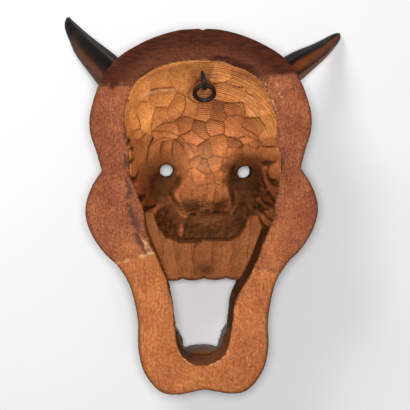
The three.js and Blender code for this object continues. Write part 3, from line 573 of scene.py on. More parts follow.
def add_wall(line, top_at, bottom_at, rough, flip=True, closed=False, first_mark=None, last_mark=None, **marks):
    """An upright wall on a line, from one surface down to another, with faint waves in it"""
    top, bottom = top_at(line), bottom_at(line)
    if closed:
        line, top, bottom = (np.concatenate([v, v[:1]]) for v in (line, top, bottom))
    run = run_along(line)

    def at(along, values):
        return np.interp(along, run, values)

    def upright(k, mark):
        kept = [] if mark is None else [mark]
        levels = [z for z in np.arange(3.0, 120, 3) if bottom[k] + 0.8 < z < top[k] - 0.8]
        levels = [z for z in levels if all(abs(z - m) > 0.8 for m in kept)]
        return [] if closed else [(run[k], z) for z in sorted(levels + kept)]

    border = [*zip(run, bottom), *upright(-1, last_mark), *zip(run[::-1], top[::-1]), *upright(0, first_mark)[::-1]]
    edges = [(i, (i + 1) % len(border)) for i in range(len(border))]
    along, high = staggered(np.arange(0.9, run[-1] - 0.8, 1.7), np.arange(1.5, 110, 2.1), 0.85)
    kept = (high > at(along, bottom) + 0.9) & (high < at(along, top) - 0.9) & (along < run[-1] - 0.7)
    found, faces, middles = triangles([*border, *zip(along[kept], high[kept])], edges)
    held = (middles[:, 1] > at(middles[:, 0], bottom)) & (middles[:, 1] < at(middles[:, 0], top))
    along, high = found.T
    slope = np.gradient(line, axis=0)
    slope = slope / np.linalg.norm(slope, axis=1)[:, None]
    facing = np.column_stack([at(along, slope[:, 1]), -at(along, slope[:, 0]), 0 * high])
    points = np.column_stack([at(along, line[:, 0]), at(along, line[:, 1]), high])
    off_top = np.clip(np.minimum(high - at(along, bottom), at(along, top) - high) / FADE, 0, 1)
    off_end = np.clip(np.minimum(along, run[-1] - along) / FADE, 0, 1)
    fade = off_top * off_end if closed else np.minimum(off_top, off_end)
    waves = rough * fade * rumple(*points[:, :2].T, 11, 61, z=high)
    points = points + facing * waves[:, None]
    take(points, faces[held], flip, **{k: v(points) if callable(v) else v for k, v in marks.items()})


# the lines along which the surfaces meet: rim, hollow, mouth and eye holes
LOWER_TEETH = [
    (24.2, -113), (23.6, -120), (18.5, -127.5), (16, -137.6), (9, -136), (0.5, -134.7),
    (-8, -136.2), (-15.2, -138), (-17.2, -127), (-22.4, -120), (-24.4, -113),
]
FLOOR_EDGE = -113
TOOTH_DROP = 2.6
EYE_HOLE_RADIUS = 6.2


def line_index(on_right, height):
    """The point of the hollow's edge that lies nearest to a height, on one side of it"""
    on_side = (hollow_line[:, 0] > 0) == on_right
    return int(np.argmin(np.where(on_side, np.abs(hollow_line[:, 1] - height), np.inf)))


right_tooth, right_low = line_index(True, TOOTH_EDGE - 0.6), line_index(True, FLOOR_EDGE)
left_low, left_tooth = line_index(False, FLOOR_EDGE), line_index(False, TOOTH_EDGE - 0.6)
tooth_x = np.linspace(hollow_line[left_tooth, 0], hollow_line[right_tooth, 0], 62)[1:-1]
tooth_y = np.full(len(tooth_x), TOOTH_EDGE)
for a, b in zip(TOOTH_GAPS, TOOTH_GAPS[1:]):
    t = (tooth_x - a) / (b - a)
    tooth_y = np.where((t > 0) & (t < 1), TOOTH_EDGE - TOOTH_DROP * round_top(2 * t - 1), tooth_y)
tooth_line = np.stack([tooth_x, tooth_y], axis=1)
low_line = smooth_curve(LOWER_TEETH, 1.3)[1:-1]
right_limb = hollow_line[right_tooth:right_low + 1]
left_limb = hollow_line[left_low:left_tooth + 1]
bowl_line = np.vstack([hollow_line[left_tooth:], hollow_line[:right_tooth + 1]])
jaw_line = hollow_line[right_low:left_low + 1]
upper_loop = np.vstack([bowl_line, tooth_line[::-1]])
lower_loop = np.vstack([jaw_line, low_line[::-1]])
mouth_loop = np.vstack([tooth_line, right_limb, low_line, left_limb])
turns = np.linspace(0, 2 * math.pi, 30, endpoint=False)
eye_loops = [
    np.stack([
        a + EYE_HOLE_RADIUS * (1 + 0.025 * np.sin(3 * turns + a)) * np.cos(turns),
        b + EYE_HOLE_RADIUS * (1 + 0.03 * np.sin(2 * turns + b)) * np.sin(turns),
    ], axis=1)
    for a, b in EYE_HOLES
]


# how far a place lies inside each of the surfaces, seen in plan
def in_hollow(x, y):
    within = np.maximum(inside(upper_loop[::2], x, y), inside(lower_loop[::2], x, y))
    return np.minimum(within, eye_gap(x, y) - EYE_HOLE_RADIUS)


def in_rim(x, y):
    return np.minimum(inside(rim_line, x, y), -inside(hollow_line, x, y))


def in_face(x, y):
    within = np.minimum(inside(rim_line, x, y), -inside(mouth_loop, x, y))
    return np.minimum(within, eye_gap(x, y) - EYE_HOLE_RADIUS)


# the surface of the hollow, with a closer net beside the creases
def beside_creases(spacing):
    x, y = staggered(np.arange(-70, 72, spacing), np.arange(-30, 128, spacing * 0.87), spacing / 2)
    near = (cuts_at(x, y)[1] < 0.8) & (share_out(coarse_hollow, HOLLOW_MIDDLE, x, y) < 0.86)
    for line in EYE_CREASES:
        near = near | (nearest(line, x, y)[0] < 0.9)
    x, y = x[near], y[near]
    return np.stack([x, y], axis=1)[(in_hollow(x, y) > 0.6) & (inside(plate_line, x, y) < 0)]


def away_from_creases(x, y):
    crowded = (cuts_at(x, y)[1] < 1.15) & (y > -30) & (inside(plate_line, x, y) < 0)
    return np.where(crowded, np.minimum(in_hollow(x, y), 0.02), in_hollow(x, y))


def spots(x, y, *rows):
    """Soft round marks, each with its strength, its middle, its half width and its half height"""
    return sum(strength * mound(x - a, y - b, wide, tall, 3) for strength, a, b, wide, tall in rows)


# where the recess and the corner under the right eye are darkened with dirt and painted shade
RECESS_DIRT_AND_SHADE = np.array([
    (-12, -12), (-14, -20), (-15.5, -30), (-20, -39), (30, -38), (32, -30), (33, -20), (31, -10), (22, -9.5),
    (8, -10.5), (-5, -11),
])
DARK_CORNER = np.array([
    (26, 17), (31, 9), (38, 1), (46, -5), (51, -12), (57, -9), (58, 3), (56, 13), (50, 19), (42, 20),
    (36, 24), (34.5, 33), (31, 33), (28, 26),
])
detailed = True
plan, faces = net(
    [upper_loop, lower_loop] + eye_loops, 1.0 if detailed else 1.9,
    away_from_creases if detailed else in_hollow, beside_creases(0.5) if detailed else (),
)
x, y = plan.T
depth, cut = hollow_cut(x, y)
rumpled = 2.2 * rumple(x, y, 12, 71)
to_right = ease(-10, 10, x)
nose = inside(nose_back_line, x, y)
on_nose, off_nose = ease(2.5, 6.5, nose + 0.6 * rumpled), 1 - ease(-1.5, 5.5, nose + 0.8 * rumpled)
on_plate, off_plate = cut["plate"], 1 - cut["plate"]
hole_gap = eye_gap(x, y) - EYE_HOLE_RADIUS
socket_left = ease(1.5, 0.75, np.hypot((x + 31) / 15, (y - 15.5) / 14) + 0.04 * rumpled)
socket_right = ease(-3, 2.5, inside(DARK_CORNER, x, y) + 0.5 * rumpled)
recess_dirt_and_shade = ease(-2.5, 2, inside(RECESS_DIRT_AND_SHADE, x, y) + 1.4 * rumpled) * off_plate
lump = mound(x + 16.5, y + 28, 2.4, 6, 3)
ends = ease(0, 0.6, cut["recess"]) * (1 - recess_dirt_and_shade) * off_plate * (1 - lump)
recess_dark = (0.86 - 0.36 * mound(x - 8, y + 18, 14, 5)) * recess_dirt_and_shade * (1 - 0.75 * lump)
# dirt and painted shade: darker in the recess and at its ends, in the eye sockets, round the eye holes and more so on
# the right side, and over the rough right side
stain = np.maximum.reduce([
    recess_dark + 0.7 * ends * mix(1, 1.25, ease(20, 34, x)),
    0.84 * socket_left * off_nose,
    0.97 * socket_right * off_nose * off_plate,
    0.85 * ease(4.5, 0.5, hole_gap),
    mix(0.4, 0.8, to_right) * ease(21, 5, hole_gap + 0.7 * rumpled) * off_nose,
    off_nose * spots(x, y, (0.62, -24.5, -6, 5, 7.5), (0.62, 31, 3, 4, 8)),
    off_nose * spots(x, y, (0.62, -33, 1, 11, 7), (0.98, 42, -1, 11, 12)),
    off_plate * spots(x, y, (0.88, 47, -11, 9, 9)),
    0.3 * to_right * cut["rough"] * ease(50, 16, y),
])
nose_patches = spots(x, y, (1, -8, -3, 9, 9), (1, 19, -2, 9, 10)) + ease(0, 0.7, rumple(x, y, 9, 73))
beside_nose = (1 - on_nose) * ease(12, 20, np.abs(x - 5)) * ease(0.92, 0.82, cut["share"])
# more dirt and painted shade: in the gaps between the side lumps, on the nose's lower part and in its nostrils, on the
# plate, on the jaw's floor and beside the nose; lighter on the bright lumps
stain = np.maximum.reduce([
    stain * (1 - 0.7 * cut["lump_tone_and_light"]),
    0.95 * cut["under"],
    on_nose * (0.22 + 0.5 * ease(18, -4, y) * np.minimum(nose_patches, 1)),
    spots(x, y, (0.97, -5.4, -13.4, 5.4, 3)),
    spots(x, y, (0.97, 15.8, -11.5, 6.6, 3.4)),
    spots(x, y, (0.75, 17, -3, 4.5, 8)) * ease(-0.4, 0.4, rumple(x, y, 5, 78)),
    0.86 * on_plate * mound(x - 5, y + 63.5, 9.5, 8.5),
    0.3 * on_plate * (1 + 0.3 * rumple(x, y, 24, 74)),
    0.66 * ease(-110, -118, y),
    mix(0.12, 0.3, to_right) * ease(40, 28, y) * beside_nose,
])
ruddy = np.maximum.reduce([
    0.75 * ends,
    mix(0.28, 0.75, to_right) * cut["rough"] * ease(46, 30, y),
    0.22 * on_plate,
    0.36 * mound(x - 42, y - 78, 20, 20, 4),
    spots(x, y, (0.7, -44, 2, 9, 8)),
    # the ring's rust, and painted shade just inside the bowl's upper right edge
    0.9 * mound(x - 3, y - 105, 14, 15, 5) + ease(7, 2, cut["edge"]) * spots(x, y, (0.75, 50, 108, 18, 18)),
    off_nose * spots(x, y, (0.75, 38, -3, 8, 8), (0.6, -33, -2, 11, 8)),
])
ruddy = np.clip(ruddy * (0.8 + 0.4 * rumple(x, y, 7, 76)), 0, 1) * (1 - 0.6 * cut["lump_tone_and_light"])
floor_line = np.abs(np.sin(0.62 * nearest(low_line, x, y)[0] + 0.9 * rumple(x, y, 18, 75)))
arc_gap = np.minimum.reduce([np.abs(from_fan(x, y) - radius) for radius in (66.5, 70.5, 73.5, 76.5)])
bright_arcs = 1.2 * ease(1.1, 0.4, arc_gap) * mound(x - 46, y - 87, 12, 10, 4)
bright_arcs *= ease(-0.4, 0.1, rumple(x, y, 12, 77))
tooth_top = ease(4.2, 3.2, nearest(low_line, x, y)[0]) * (y < FLOOR_EDGE)
take(
    np.column_stack([plan, RIM_HEIGHT - depth]), faces, False,
    groove=np.maximum.reduce([
        cut["groove"], 0.8 * ease(0.25, 0.1, floor_line) * (y < -117),
        0.9 * ease(2.8, 1, nearest(tooth_line, x, y)[0]) * (y > -80),
    ]),
    # lighter towards the crown, and painted light on the rough left side
    tone=cut["tone"] + 0.35 * ease(92, 108, y) + 0.6 * cut["rough"] * ease(-10, -30, x),
    stain=np.clip(stain, 0, 1), bowl=cut["rings"], reach=cut["reach"], ruddy=ruddy,
    # a painted shadow line just inside the hollow's edge
    dark=0.8 * ease(1, 0.2, cut["edge"]), lacquer=tooth_top, gilt=0.55 * tooth_top,
    # pale: the chip, a painted highlight on the bridge of the nose, and pale arcs at the upper right
    pale=np.maximum(
        1.3 * ease(1.7, 0.5, nearest(PALE_CHIP, x, y)[0]), 0.3 * mound(x - 4, y - 38, 15, 15) + bright_arcs),
)


# the rim, with a closer net where old pen strokes run over the crown, and a grey streak worn into its left arm
STROKE_CLUMPS = ((-6, 144, 0.2), (8.7, 140.5, -0.4), (27.8, 135, 0.5))
STROKES = (
    (-3.4, 1.5, 3.4, 0.1), (-2.4, -0.6, 4.6, -0.15), (-3, -2.8, 3.2, 0.3), (0.4, -1, 4.2, 1.5), (-1.6, -1.2, 3.8, 1.3),
)
LEFT_STREAK = np.array([
    (-71, 90), (-68.5, 74), (-66.3, 49), (-65, 31.6), (-64.6, 14), (-64.4, 1.5), (-62.6, -9.3), (-58.9, -19.1),
    (-54.2, -31.8), (-49.5, -40.7),
])


def strokes_at(x, y):
    """Three clumps of short strokes, which are no letters"""
    found = 0 * x
    for a, b, turn in STROKE_CLUMPS:
        u = (x - a) * math.cos(turn) + (y - b) * math.sin(turn)
        v = (y - b) * math.cos(turn) - (x - a) * math.sin(turn)
        for left, low, long, lean in STROKES:
            along = (u - left) * math.cos(lean) + (v - low) * math.sin(lean)
            off = np.abs((v - low) * math.cos(lean) - (u - left) * math.sin(lean))
            found = np.maximum(found, ease(0.75, 0.25, off) * (along > 0) * (along < long))
    return found


def patches(low, high, size, seed):
    """Broken patches all over: 0 where the noise is under low, 1 where it is over high"""
    return ease(low, high, rumple(x, y, size, seed))


patch_x, patch_y = (v.ravel() for v in np.meshgrid(np.arange(-13, 35, 0.6), np.arange(130, 149, 0.6)))
plan, faces = net(
    [rim_line, hollow_line], 2.0 if detailed else 3.5, in_rim,
    np.vstack([
        edge_rows(rim_line[::-1], (0.45, 1.1, 1.9)), edge_rows(hollow_line, (0.4, 0.9, 1.5)),
        np.stack([patch_x, patch_y], axis=1)[in_rim(patch_x, patch_y) > 2.2],
    ]),
)
x, y = plan.T
height, outer, inner, border = rim_height(x, y)
top_border = mix(104, 113.5, (x + 90) / 170) + 0.8 * rumple(x, y, 30, 51)
soft_edge = np.where(x < 0, 3.5, 1.2)
rumpled_y = y + np.where(x < 0, 2.5, 0.3) * rumple(x, y, 9, 59)
on_top = ease(top_border - soft_edge, top_border + soft_edge, rumpled_y)
streak_gap, streak_along = nearest(LEFT_STREAK, x + 1.2 * rumple(x, y, 12, 60, 2), y)
broken = ease(-0.45, 0.35, rumple(x, y, 10, 56) + mix(-0.35, 0.5, streak_along))
border_chips = ease(np.where(x < -50, -0.1, 0.3), 0.9, 0.5 + 0.7 * rumple(x, y, 12, 53))
border_gap = np.abs(y - border - 0.3)
on_right = x > 55
take(
    np.column_stack([plan, height]), faces, False, lie=outer,
    old=ease(border - 1, border + 1.5, y)
    * (1 - spots(x, y, (0.75, 62, -36, 17, 18), (0.3, 80, -4, 13, 20), (0.5, -60, -42, 16, 12))),
    dark=np.maximum.reduce([
        on_top * mix(0.74, 1, ease(5, 19, inner)),
        on_top * 1.15 * ease(6.5, 4.5, inner) * mound(x - 30, y - 124, 30, 14, 4),
        0.9 * ease(1, 0.2, outer), 0.5 * ease(3.5, 0.5, outer),
    ]),
    grey=np.clip(
        0.8 * ease(4, 1.2, inner) * (x > 0) * ease(-48, -36, y) * ease(112, 100, y) * (0.5 + 0.5 * rumple(x, y, 23, 52))
        + 1.25 * ease(mix(1.2, 3.2, streak_along), 0.8, streak_gap) * broken
        + 0.3 * ease(5, 1, nearest(LEFT_STREAK, x - 2, y)[0]) * ease(60, 30, y)
        + 0.95 * ease(6.5, 4.5, inner + rumple(x, y, 15, 58)) * mound(x - 40, y - 118, 22, 14, 4), 0, 1),
    pale=np.maximum(
        ease(np.where(x < 0, 2.6, 1.6), 0.3, border_gap) * border_chips,
        0.9 * ease(2, 0.9, inner) * on_right * ease(72, 80, y) * ease(117, 112, y) * patches(-0.1, 0.5, 5, 55))
    + 0.8 * ease(1.8, 0.6, inner) * ease(-126, -132, y) * patches(0, 0.5, 6, 57)
    + 0.9 * ease(2.6, 1.4, nearest(LEFT_STREAK, x - 3.5, y)[0]) * ease(-22, -32, y) * patches(-0.1, 0.4, 8, 62)
    + 0.6 * ease(1.3, 0.5, np.abs(inner - 9.5)) * on_right * ease(84, 88, y) * ease(108, 104, y)
    * patches(0, 0.4, 4, 64)
    + 0.35 * ease(1.2, 0.5, inner) * ease(96, 112, y) * patches(-0.2, 0.4, 9, 63),
    # groove: the line at the top zone's border, a broken painted shadow line along the hollow's edge, and the pen
    # strokes
    groove=np.maximum(
        0.7 * ease(1, 0.2, np.abs(y - top_border)) * ease(60, 66, np.abs(x - 8))
        + 0.9 * ease(1.5, 0.5, inner) * ease(0.1, 0.5, rumple(x, y, 15, 54) + 0.5 * ease(95, 115, y)),
        0.85 * strokes_at(x, y)),
)

# the carved and lacquered face
plan, faces = net([rim_line, mouth_loop] + eye_loops, 1.45 if detailed else 2.8, in_face)
depth, paint = face_cut(*plan.T)
take(
    np.column_stack([plan, RIM_HEIGHT - depth]), faces, True,
    lacquer=1.0, gilt=paint["gilt"], red=paint["red"], dark=paint["brow"],
)


# upright walls: round the rim, round the hollow, and through the mouth and eye holes
def rim_at(line):
    return rim_height(*line.T)[0]


def hollow_at(line):
    return RIM_HEIGHT - hollow_cut(*line.T)[0]


def face_at(line):
    return RIM_HEIGHT - face_cut(*line.T)[0]


# the bowl's wall, darker with dirt and painted shade towards its lower right
def bowl_stain(points):
    return mix(0.25, 0.94, ease(-15, -22, points[:, 1]) * (points[:, 0] > 0))


tooth_ends = np.vstack([hollow_line[left_tooth], tooth_line, hollow_line[right_tooth]])
low_ends = np.vstack([hollow_line[right_low], low_line, hollow_line[left_low]])
deep_left, deep_right, shelf_right, shelf_left = hollow_at(hollow_line[[left_tooth, right_tooth, right_low, left_low]])
add_wall(
    rim_line, rim_at, face_at, 0.25, flip=False, closed=True, dark=0.5,
    lacquer=lambda points: ease(108.6, 107.6, points[:, 2]),
)
# the walls in the hollow, the limbs and the eye holes are darkened with dirt and painted shade, the right limb most
add_wall(bowl_line, rim_at, hollow_at, 0.7, bowl=1.0, stain=bowl_stain)
add_wall(jaw_line, rim_at, hollow_at, 0.5, stain=0.6)
add_wall(right_limb, rim_at, face_at, 0.5, first_mark=deep_right, last_mark=shelf_right, stain=0.9)
add_wall(left_limb, rim_at, face_at, 0.5, first_mark=shelf_left, last_mark=deep_left, stain=0.5)
add_wall(tooth_ends, hollow_at, face_at, 0.0, dark=0.8)
add_wall(low_ends, hollow_at, face_at, 0.0, gilt=1.0, lacquer=1.0)
for loop in eye_loops:
    add_wall(loop, hollow_at, face_at, 0.0, closed=True, dark=0.6, stain=0.8)

# all the surfaces welded into one closed mesh, inside the solid's own box
WELD_GAP = 0.02
low_corner, high_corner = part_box("mask")
middle = Vector(((low_corner.x + high_corner.x) / 2, high_corner.y - CROWN[0][1] * MM, 0))
points = np.vstack([p for p, _, _ in pieces]) * MM + np.array(middle)
points = np.clip(points, np.array(low_corner), np.array(high_corner))
starts = np.cumsum([0] + [len(p) for p, _, _ in pieces[:-1]])
faces = np.vstack([f + start for (_, f, _), start in zip(pieces, starts)])
shape = bpy.data.meshes.new("mask_carving")
shape.from_pydata(points.tolist(), [], faces.tolist())
for name in MARKS:
    values = np.concatenate([marks[name] for _, _, marks in pieces]).astype(np.float32)
    shape.attributes.new(name, "FLOAT", "POINT").data.foreach_set("value", values)
mask = bpy.data.objects.new("mask_carving", shape)
bpy.context.scene.collection.objects.link(mask)


def edit_all(piece, action, **settings):
    """Run one edit-mode action on the whole of a piece's mesh, and leave the piece selected"""
    bpy.ops.object.select_all(action="DESELECT")
    bpy.context.view_layer.objects.active = piece
    piece.select_set(True)
    bpy.ops.object.mode_set(mode="EDIT")
    bpy.ops.mesh.select_all(action="SELECT")
    action(**settings)
    bpy.ops.object.mode_set(mode="OBJECT")


edit_all(mask, bpy.ops.mesh.remove_doubles, threshold=WELD_GAP * MM)
bpy.ops.object.shade_smooth_by_angle(angle=math.radians(42))


def tone(red, green, blue):
    """A colour as seen, from 0 to 255, as the linear light that a shader takes"""
    linear = [((c / 255 + 0.055) / 1.055) ** 2.4 if c > 10 else c / 3295 for c in (red, green, blue)]
    return (*linear, 1.0)


class Sum:
    """A number socket that takes part in ordinary sums"""

    def __init__(self, paint, socket):
        self.paint, self.socket = paint, socket

    def work(self, kind, first, second):
        return Sum(self.paint, self.paint.add("ShaderNodeMath", {"operation": kind}, _0=first, _1=second).outputs[0])

    def __add__(self, other):
        return self.work("ADD", self, other)

    def __mul__(self, other):
        return self.work("MULTIPLY", self, other)

    def __sub__(self, other):
        return self.work("SUBTRACT", self, other)

    def __rsub__(self, other):
        return self.work("SUBTRACT", other, self)

    __radd__, __rmul__ = __add__, __mul__


class Paint:
    """A material with its shader, and one way to add any other node"""

    def __init__(self, name):
        self.material = bpy.data.materials.new(name)
        self.material.use_nodes = True
        self.tree = self.material.node_tree
        self.shader = self.tree.nodes["Principled BSDF"]
        self.place = self.add("ShaderNodeTexCoord").outputs["Object"]

    def join(self, socket, value):
        value = value.socket if isinstance(value, Sum) else value
        if isinstance(value, bpy.types.NodeSocket):
            self.tree.links.new(value, socket)
        else:
            socket.default_value = value

    def add(self, kind, settings=None, **values):
        """Any node: its type, its settings, and the values or links of its sockets, by number as _0 or by name"""
        node = self.tree.nodes.new(kind)
        for key, value in (settings or {}).items():
            setattr(node, key, value)
        for key, value in values.items():
            self.join(node.inputs[int(key[1:]) if key[0] == "_" else key], value)
        return node

    def mark(self, name):
        return Sum(self, self.add("ShaderNodeAttribute", {"attribute_name": name}).outputs["Fac"])

    def stretched(self, scale):
        return self.add("ShaderNodeMapping", Vector=self.place, Scale=scale).outputs[0]

    def point(self, across, up=0.0, high=0.0):
        return self.add("ShaderNodeCombineXYZ", _0=across, _1=up, _2=high).outputs[0]

    def noise(self, place, scale, detail, rough):
        node = self.add("ShaderNodeTexNoise", Vector=place, Scale=scale, Detail=detail, Roughness=rough)
        return Sum(self, node.outputs["Fac"])

    def ramp(self, value, low, high):
        node = self.add("ShaderNodeMapRange", {"interpolation_type": "SMOOTHSTEP"}, Value=value, _1=low, _2=high)
        return Sum(self, node.outputs[0])

    def blend(self, share, first, second, kind="MIX"):
        """Two colours mixed, each a socket or red, green and blue from 0 to 255"""
        settings = {"data_type": "RGBA", "blend_type": kind, "clamp_factor": True}
        first, second = (tone(*value) if isinstance(value, tuple) else value for value in (first, second))
        return self.add("ShaderNodeMix", settings, _0=share, _6=first, _7=second).outputs[2]

    def layers(self, colour, *covers):
        """A colour with others laid over it in turn, each with its cover"""
        for cover, over in covers:
            colour = self.blend(cover, colour, over)
        return colour

    def finish(self, colour, roughness, relief, strength, deep):
        """The shader's colour and roughness, and a fine relief of the given depth in it"""
        bump = self.add("ShaderNodeBump", Height=relief, Strength=strength, Distance=deep * MM).outputs[0]
        for name, value in (("Base Color", colour), ("Roughness", roughness), ("Normal", bump)):
            self.join(self.shader.inputs[name], value)


# the grain and the spots in the wood
wood = Paint("carved_wood")
(
    groove, cut_tone_and_shading, stain, grey, old, pale, lacquer, gilt, red, dark, bowl, lie, reach, ruddy,
) = (wood.mark(name) for name in MARKS)
position = wood.add("ShaderNodeSeparateXYZ", Vector=wood.place)
across, up, high = (Sum(wood, position.outputs[k]) for k in range(3))
fibre = wood.noise(wood.stretched((900, 60, 900)), 1, 4, 0.6)
pitted = wood.noise(wood.stretched((760, 420, 760)), 1, 3, 0.7)
flecked = wood.noise(wood.stretched((900, 300, 900)), 1.3, 3, 0.7)
sweep = wood.noise(wood.stretched((90, 560, 90)), 1, 4, 0.6)
fine, speck, cloud, broad, waviness, blotch = (
    wood.noise(wood.place, *size) for size in (
        (520, 4, 0.65), (210, 3, 0.6), (40, 4, 0.65), (9, 2, 0.5), (38, 2, 0.5), (75, 2, 0.6),
    )
)
clouded = wood.ramp(cloud, 0.3, 0.7)

# the fine lines that the gouge left in its cuts, and painted highlights between them
out = reach * MM
ring_count = out * 3200 + high * 900 + waviness * 8 + fine * 0.8
ring = Sum(wood, wood.add("ShaderNodeMath", {"operation": "SINE"}, _0=ring_count).outputs[0])
ring_own = wood.noise(wood.point(ring_count * 0.16), 1, 1, 0.5)
upper = wood.ramp(up, 0.045, 0.08)
right = wood.ramp(across + up * 0.15, -0.006, 0.016)
ring_share = bowl * (0.3 + 0.7 * wood.ramp(blotch, 0.35, 0.6))
ring_share *= (0.42 + 0.95 * right * upper) * (1 - 0.6 * upper * (1 - right))
ring_dark = wood.ramp(ring, 0.1, 0.95) * ring_share * (0.2 + 1.0 * wood.ramp(ring_own, 0.4, 0.6))
ring_highlight = wood.ramp(ring, -0.6, -1) * ring_share

# the plain wood, its planed rim with long hatching, the paler, yellower crown of the bowl, and the old grey rim
along_limb = wood.point(lie * 0.95 + (across - up) * 380, up * 110, across * 110)
hatch, limb = wood.noise(along_limb, 1, 4, 0.65), wood.ramp(lie, 0, 0.8)
paler_crown_share = bowl * wood.ramp(out + 0.016 * cloud - 0.007 * right, 0.058, 0.07)
paler_crown_share *= wood.ramp(up, 0.03, 0.06) * (1 - 0.35 * right)
aged = wood.layers(
    wood.blend(clouded, (118, 62, 38), (152, 90, 56)),
    (wood.ramp(speck, 0.42, 0.62) * 0.4, (112, 56, 38)),
    (wood.ramp(pitted, 0.52, 0.64) * 0.55, (74, 36, 26)),
    (wood.ramp(flecked, 0.56, 0.66) * 0.28, (204, 138, 100)),
)
colour = wood.layers(
    wood.blend(clouded, (152, 88, 48), (180, 110, 62)),
    (wood.ramp(broad, 0.35, 0.65) * 0.5, (156, 88, 50)),
    (wood.ramp(hatch, 0.5, 0.62) * 0.4 * limb, (120, 64, 36)),
    (wood.ramp(hatch, 0.44, 0.34) * 0.35 * limb, (204, 138, 90)),
    (wood.ramp(wood.noise(along_limb, 0.35, 2, 0.5), 0.5, 0.7) * 0.5 * limb, (148, 78, 46)),
    (paler_crown_share, wood.blend(clouded, (202, 124, 66), (226, 152, 84))),
    (old, aged),
)
# darker fibres and fine grain, and each cut's tone with its painted light and shade
for shade in (
    1.12 - 0.3 * wood.ramp(fibre, 0.4, 0.75), 1.22 - 0.48 * wood.ramp(fine, 0.34, 0.68), 0.98 + 0.26 * cut_tone_and_shading,
):
    colour = wood.blend(1.0, colour, shade, "MULTIPLY")

# what lies on the wood behind: tool lines with painted highlights between them, dirt and painted shade, wear, dark
# stain, creases and chips; and the lacquer in front
front = wood.layers(
    wood.blend(wood.ramp(cloud, 0.35, 0.7) * 0.5, (58, 36, 28), (38, 26, 22)),
    (red, (120, 34, 24)),
    (gilt, wood.blend(clouded, (98, 80, 64), (66, 54, 46))),
)
colour = wood.layers(
    colour,
    (ring_dark * 0.7, (108, 52, 24)),
    (ring_highlight * 0.42, (240, 176, 112)),
    (ruddy * (0.5 + 0.6 * speck), (112, 50, 24)),
    (stain * (0.75 + 0.5 * cloud), wood.blend(wood.ramp(speck, 0.25, 0.75), (16, 7, 1), (70, 39, 13))),
    (grey * (0.4 + 0.7 * speck), (58, 44, 40)),
    (dark * (0.75 + 0.5 * cloud), wood.blend(wood.ramp(sweep, 0.3, 0.7), (74, 29, 11), (42, 17, 6))),
    (groove * 0.85, (54, 26, 11)),
    (pale * (0.25 + 0.65 * wood.ramp(speck, 0.4, 0.6)), (222, 166, 116)),
    (lacquer, front),
)
relief = fibre * 0.35 + fine * 0.5 - ring_dark * 0.7 - groove * 0.6
wood.finish(colour, 0.68 - 0.28 * lacquer - 0.06 * dark + 0.1 * fine, relief, 0.5, 0.6)
wood.shader.inputs["Specular IOR Level"].default_value = 0.08
mask.data.materials.append(wood.material)
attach(mask, "root")
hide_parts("mask")


# The two horns: each turned from dark wood, tapered and bent, and let into a socket in the
# forehead. They are stained black along the upper side, and the bare wood shows along the middle.
HORNS = {
    "horn_left": [
        (-65, 99, 75, 14.6), (-80.5, 118.2, 59, 15.2), (-99.5, 138.3, 35, 12), (-108.8, 150.5, 19.5, 8.8),
        (-116.6, 162, 8.5, 5.6), (-118.8, 169, 1.2, 2.2),
    ],
    "horn_right": [
        (65, 104, 75, 12.6), (86.5, 119.4, 59, 13.2), (110, 133.2, 35, 9.4), (121.6, 140.7, 19.5, 7.2),
        (131.5, 148, 8.5, 4.7), (135.6, 151.6, 1, 2),
    ],
}


def bent_bar(name, stations, sides, rings):
    """A round bar along a smooth line, each station with its own radius, with both ends closed"""
    given = np.array(stations, float)
    padded = np.vstack([2 * given[0] - given[1], given, 2 * given[-1] - given[-2]])
    path = []
    for a, b, c, d in zip(padded, padded[1:], padded[2:], padded[3:]):
        t = np.linspace(0, 1, 40, endpoint=False)[:, None]
        path.append(0.5 * (2 * b + (c - a) * t + (2 * a - 5 * b + 4 * c - d) * t**2 + (3 * b - a - 3 * c + d) * t**3))
    path = np.vstack(path + [given[-1:]])
    run = run_along(path[:, :3])
    even = np.linspace(0, run[-1], rings)
    path = np.stack([np.interp(even, run, path[:, k]) for k in range(4)], axis=1)
    bpy.ops.object.select_all(action="DESELECT")
    bpy.ops.mesh.primitive_circle_add(vertices=sides, radius=1, fill_type="NGON")
    bar = bpy.context.active_object
    bar.name = name
    bpy.ops.object.mode_set(mode="EDIT")
    bpy.ops.mesh.select_all(action="SELECT")
    for _ in range(rings - 1):
        bpy.ops.mesh.extrude_region_move(TRANSFORM_OT_translate={"value": (0, 0, 1)})
    bpy.ops.object.mode_set(mode="OBJECT")
    ahead = np.gradient(path[:, :3], axis=0)
    ahead = ahead / np.linalg.norm(ahead, axis=1)[:, None]
    wide = np.cross((0, 0, 1), ahead)
    wide = wide / np.linalg.norm(wide, axis=1)[:, None]
    thick = np.cross(ahead, wide)
    for vertex in bar.data.vertices:
        k = min(rings - 1, round(vertex.co.z))
        place = path[k, :3] + path[k, 3] * (wide[k] * vertex.co.x + thick[k] * vertex.co.y)
        vertex.co = middle + Vector(place) * MM
    return bar, path


def places_on(bar, path):
    """A bar's points in mm from the mask's middle, each with the number of the nearest point of its path"""
    local = (np.array([vertex.co for vertex in bar.data.vertices], float) - np.array(middle)) / MM
    return local, np.linalg.norm(path[:, None, :3] - local, axis=2).argmin(axis=0)


def move_points(bar, local, box=(-math.inf, math.inf)):
    """Put a bar's points at places in mm from the mask's middle, kept inside a box"""
    bar.data.vertices.foreach_set("co", np.clip(np.array(middle) + local * MM, *box).ravel())


def finish_piece(piece, node, paint):
    edit_all(piece, bpy.ops.mesh.normals_make_consistent, inside=False)
    bpy.ops.object.shade_smooth_by_angle(angle=math.radians(50))
    piece.data.materials.append(paint.material)
    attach(piece, "root")
    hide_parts(node)


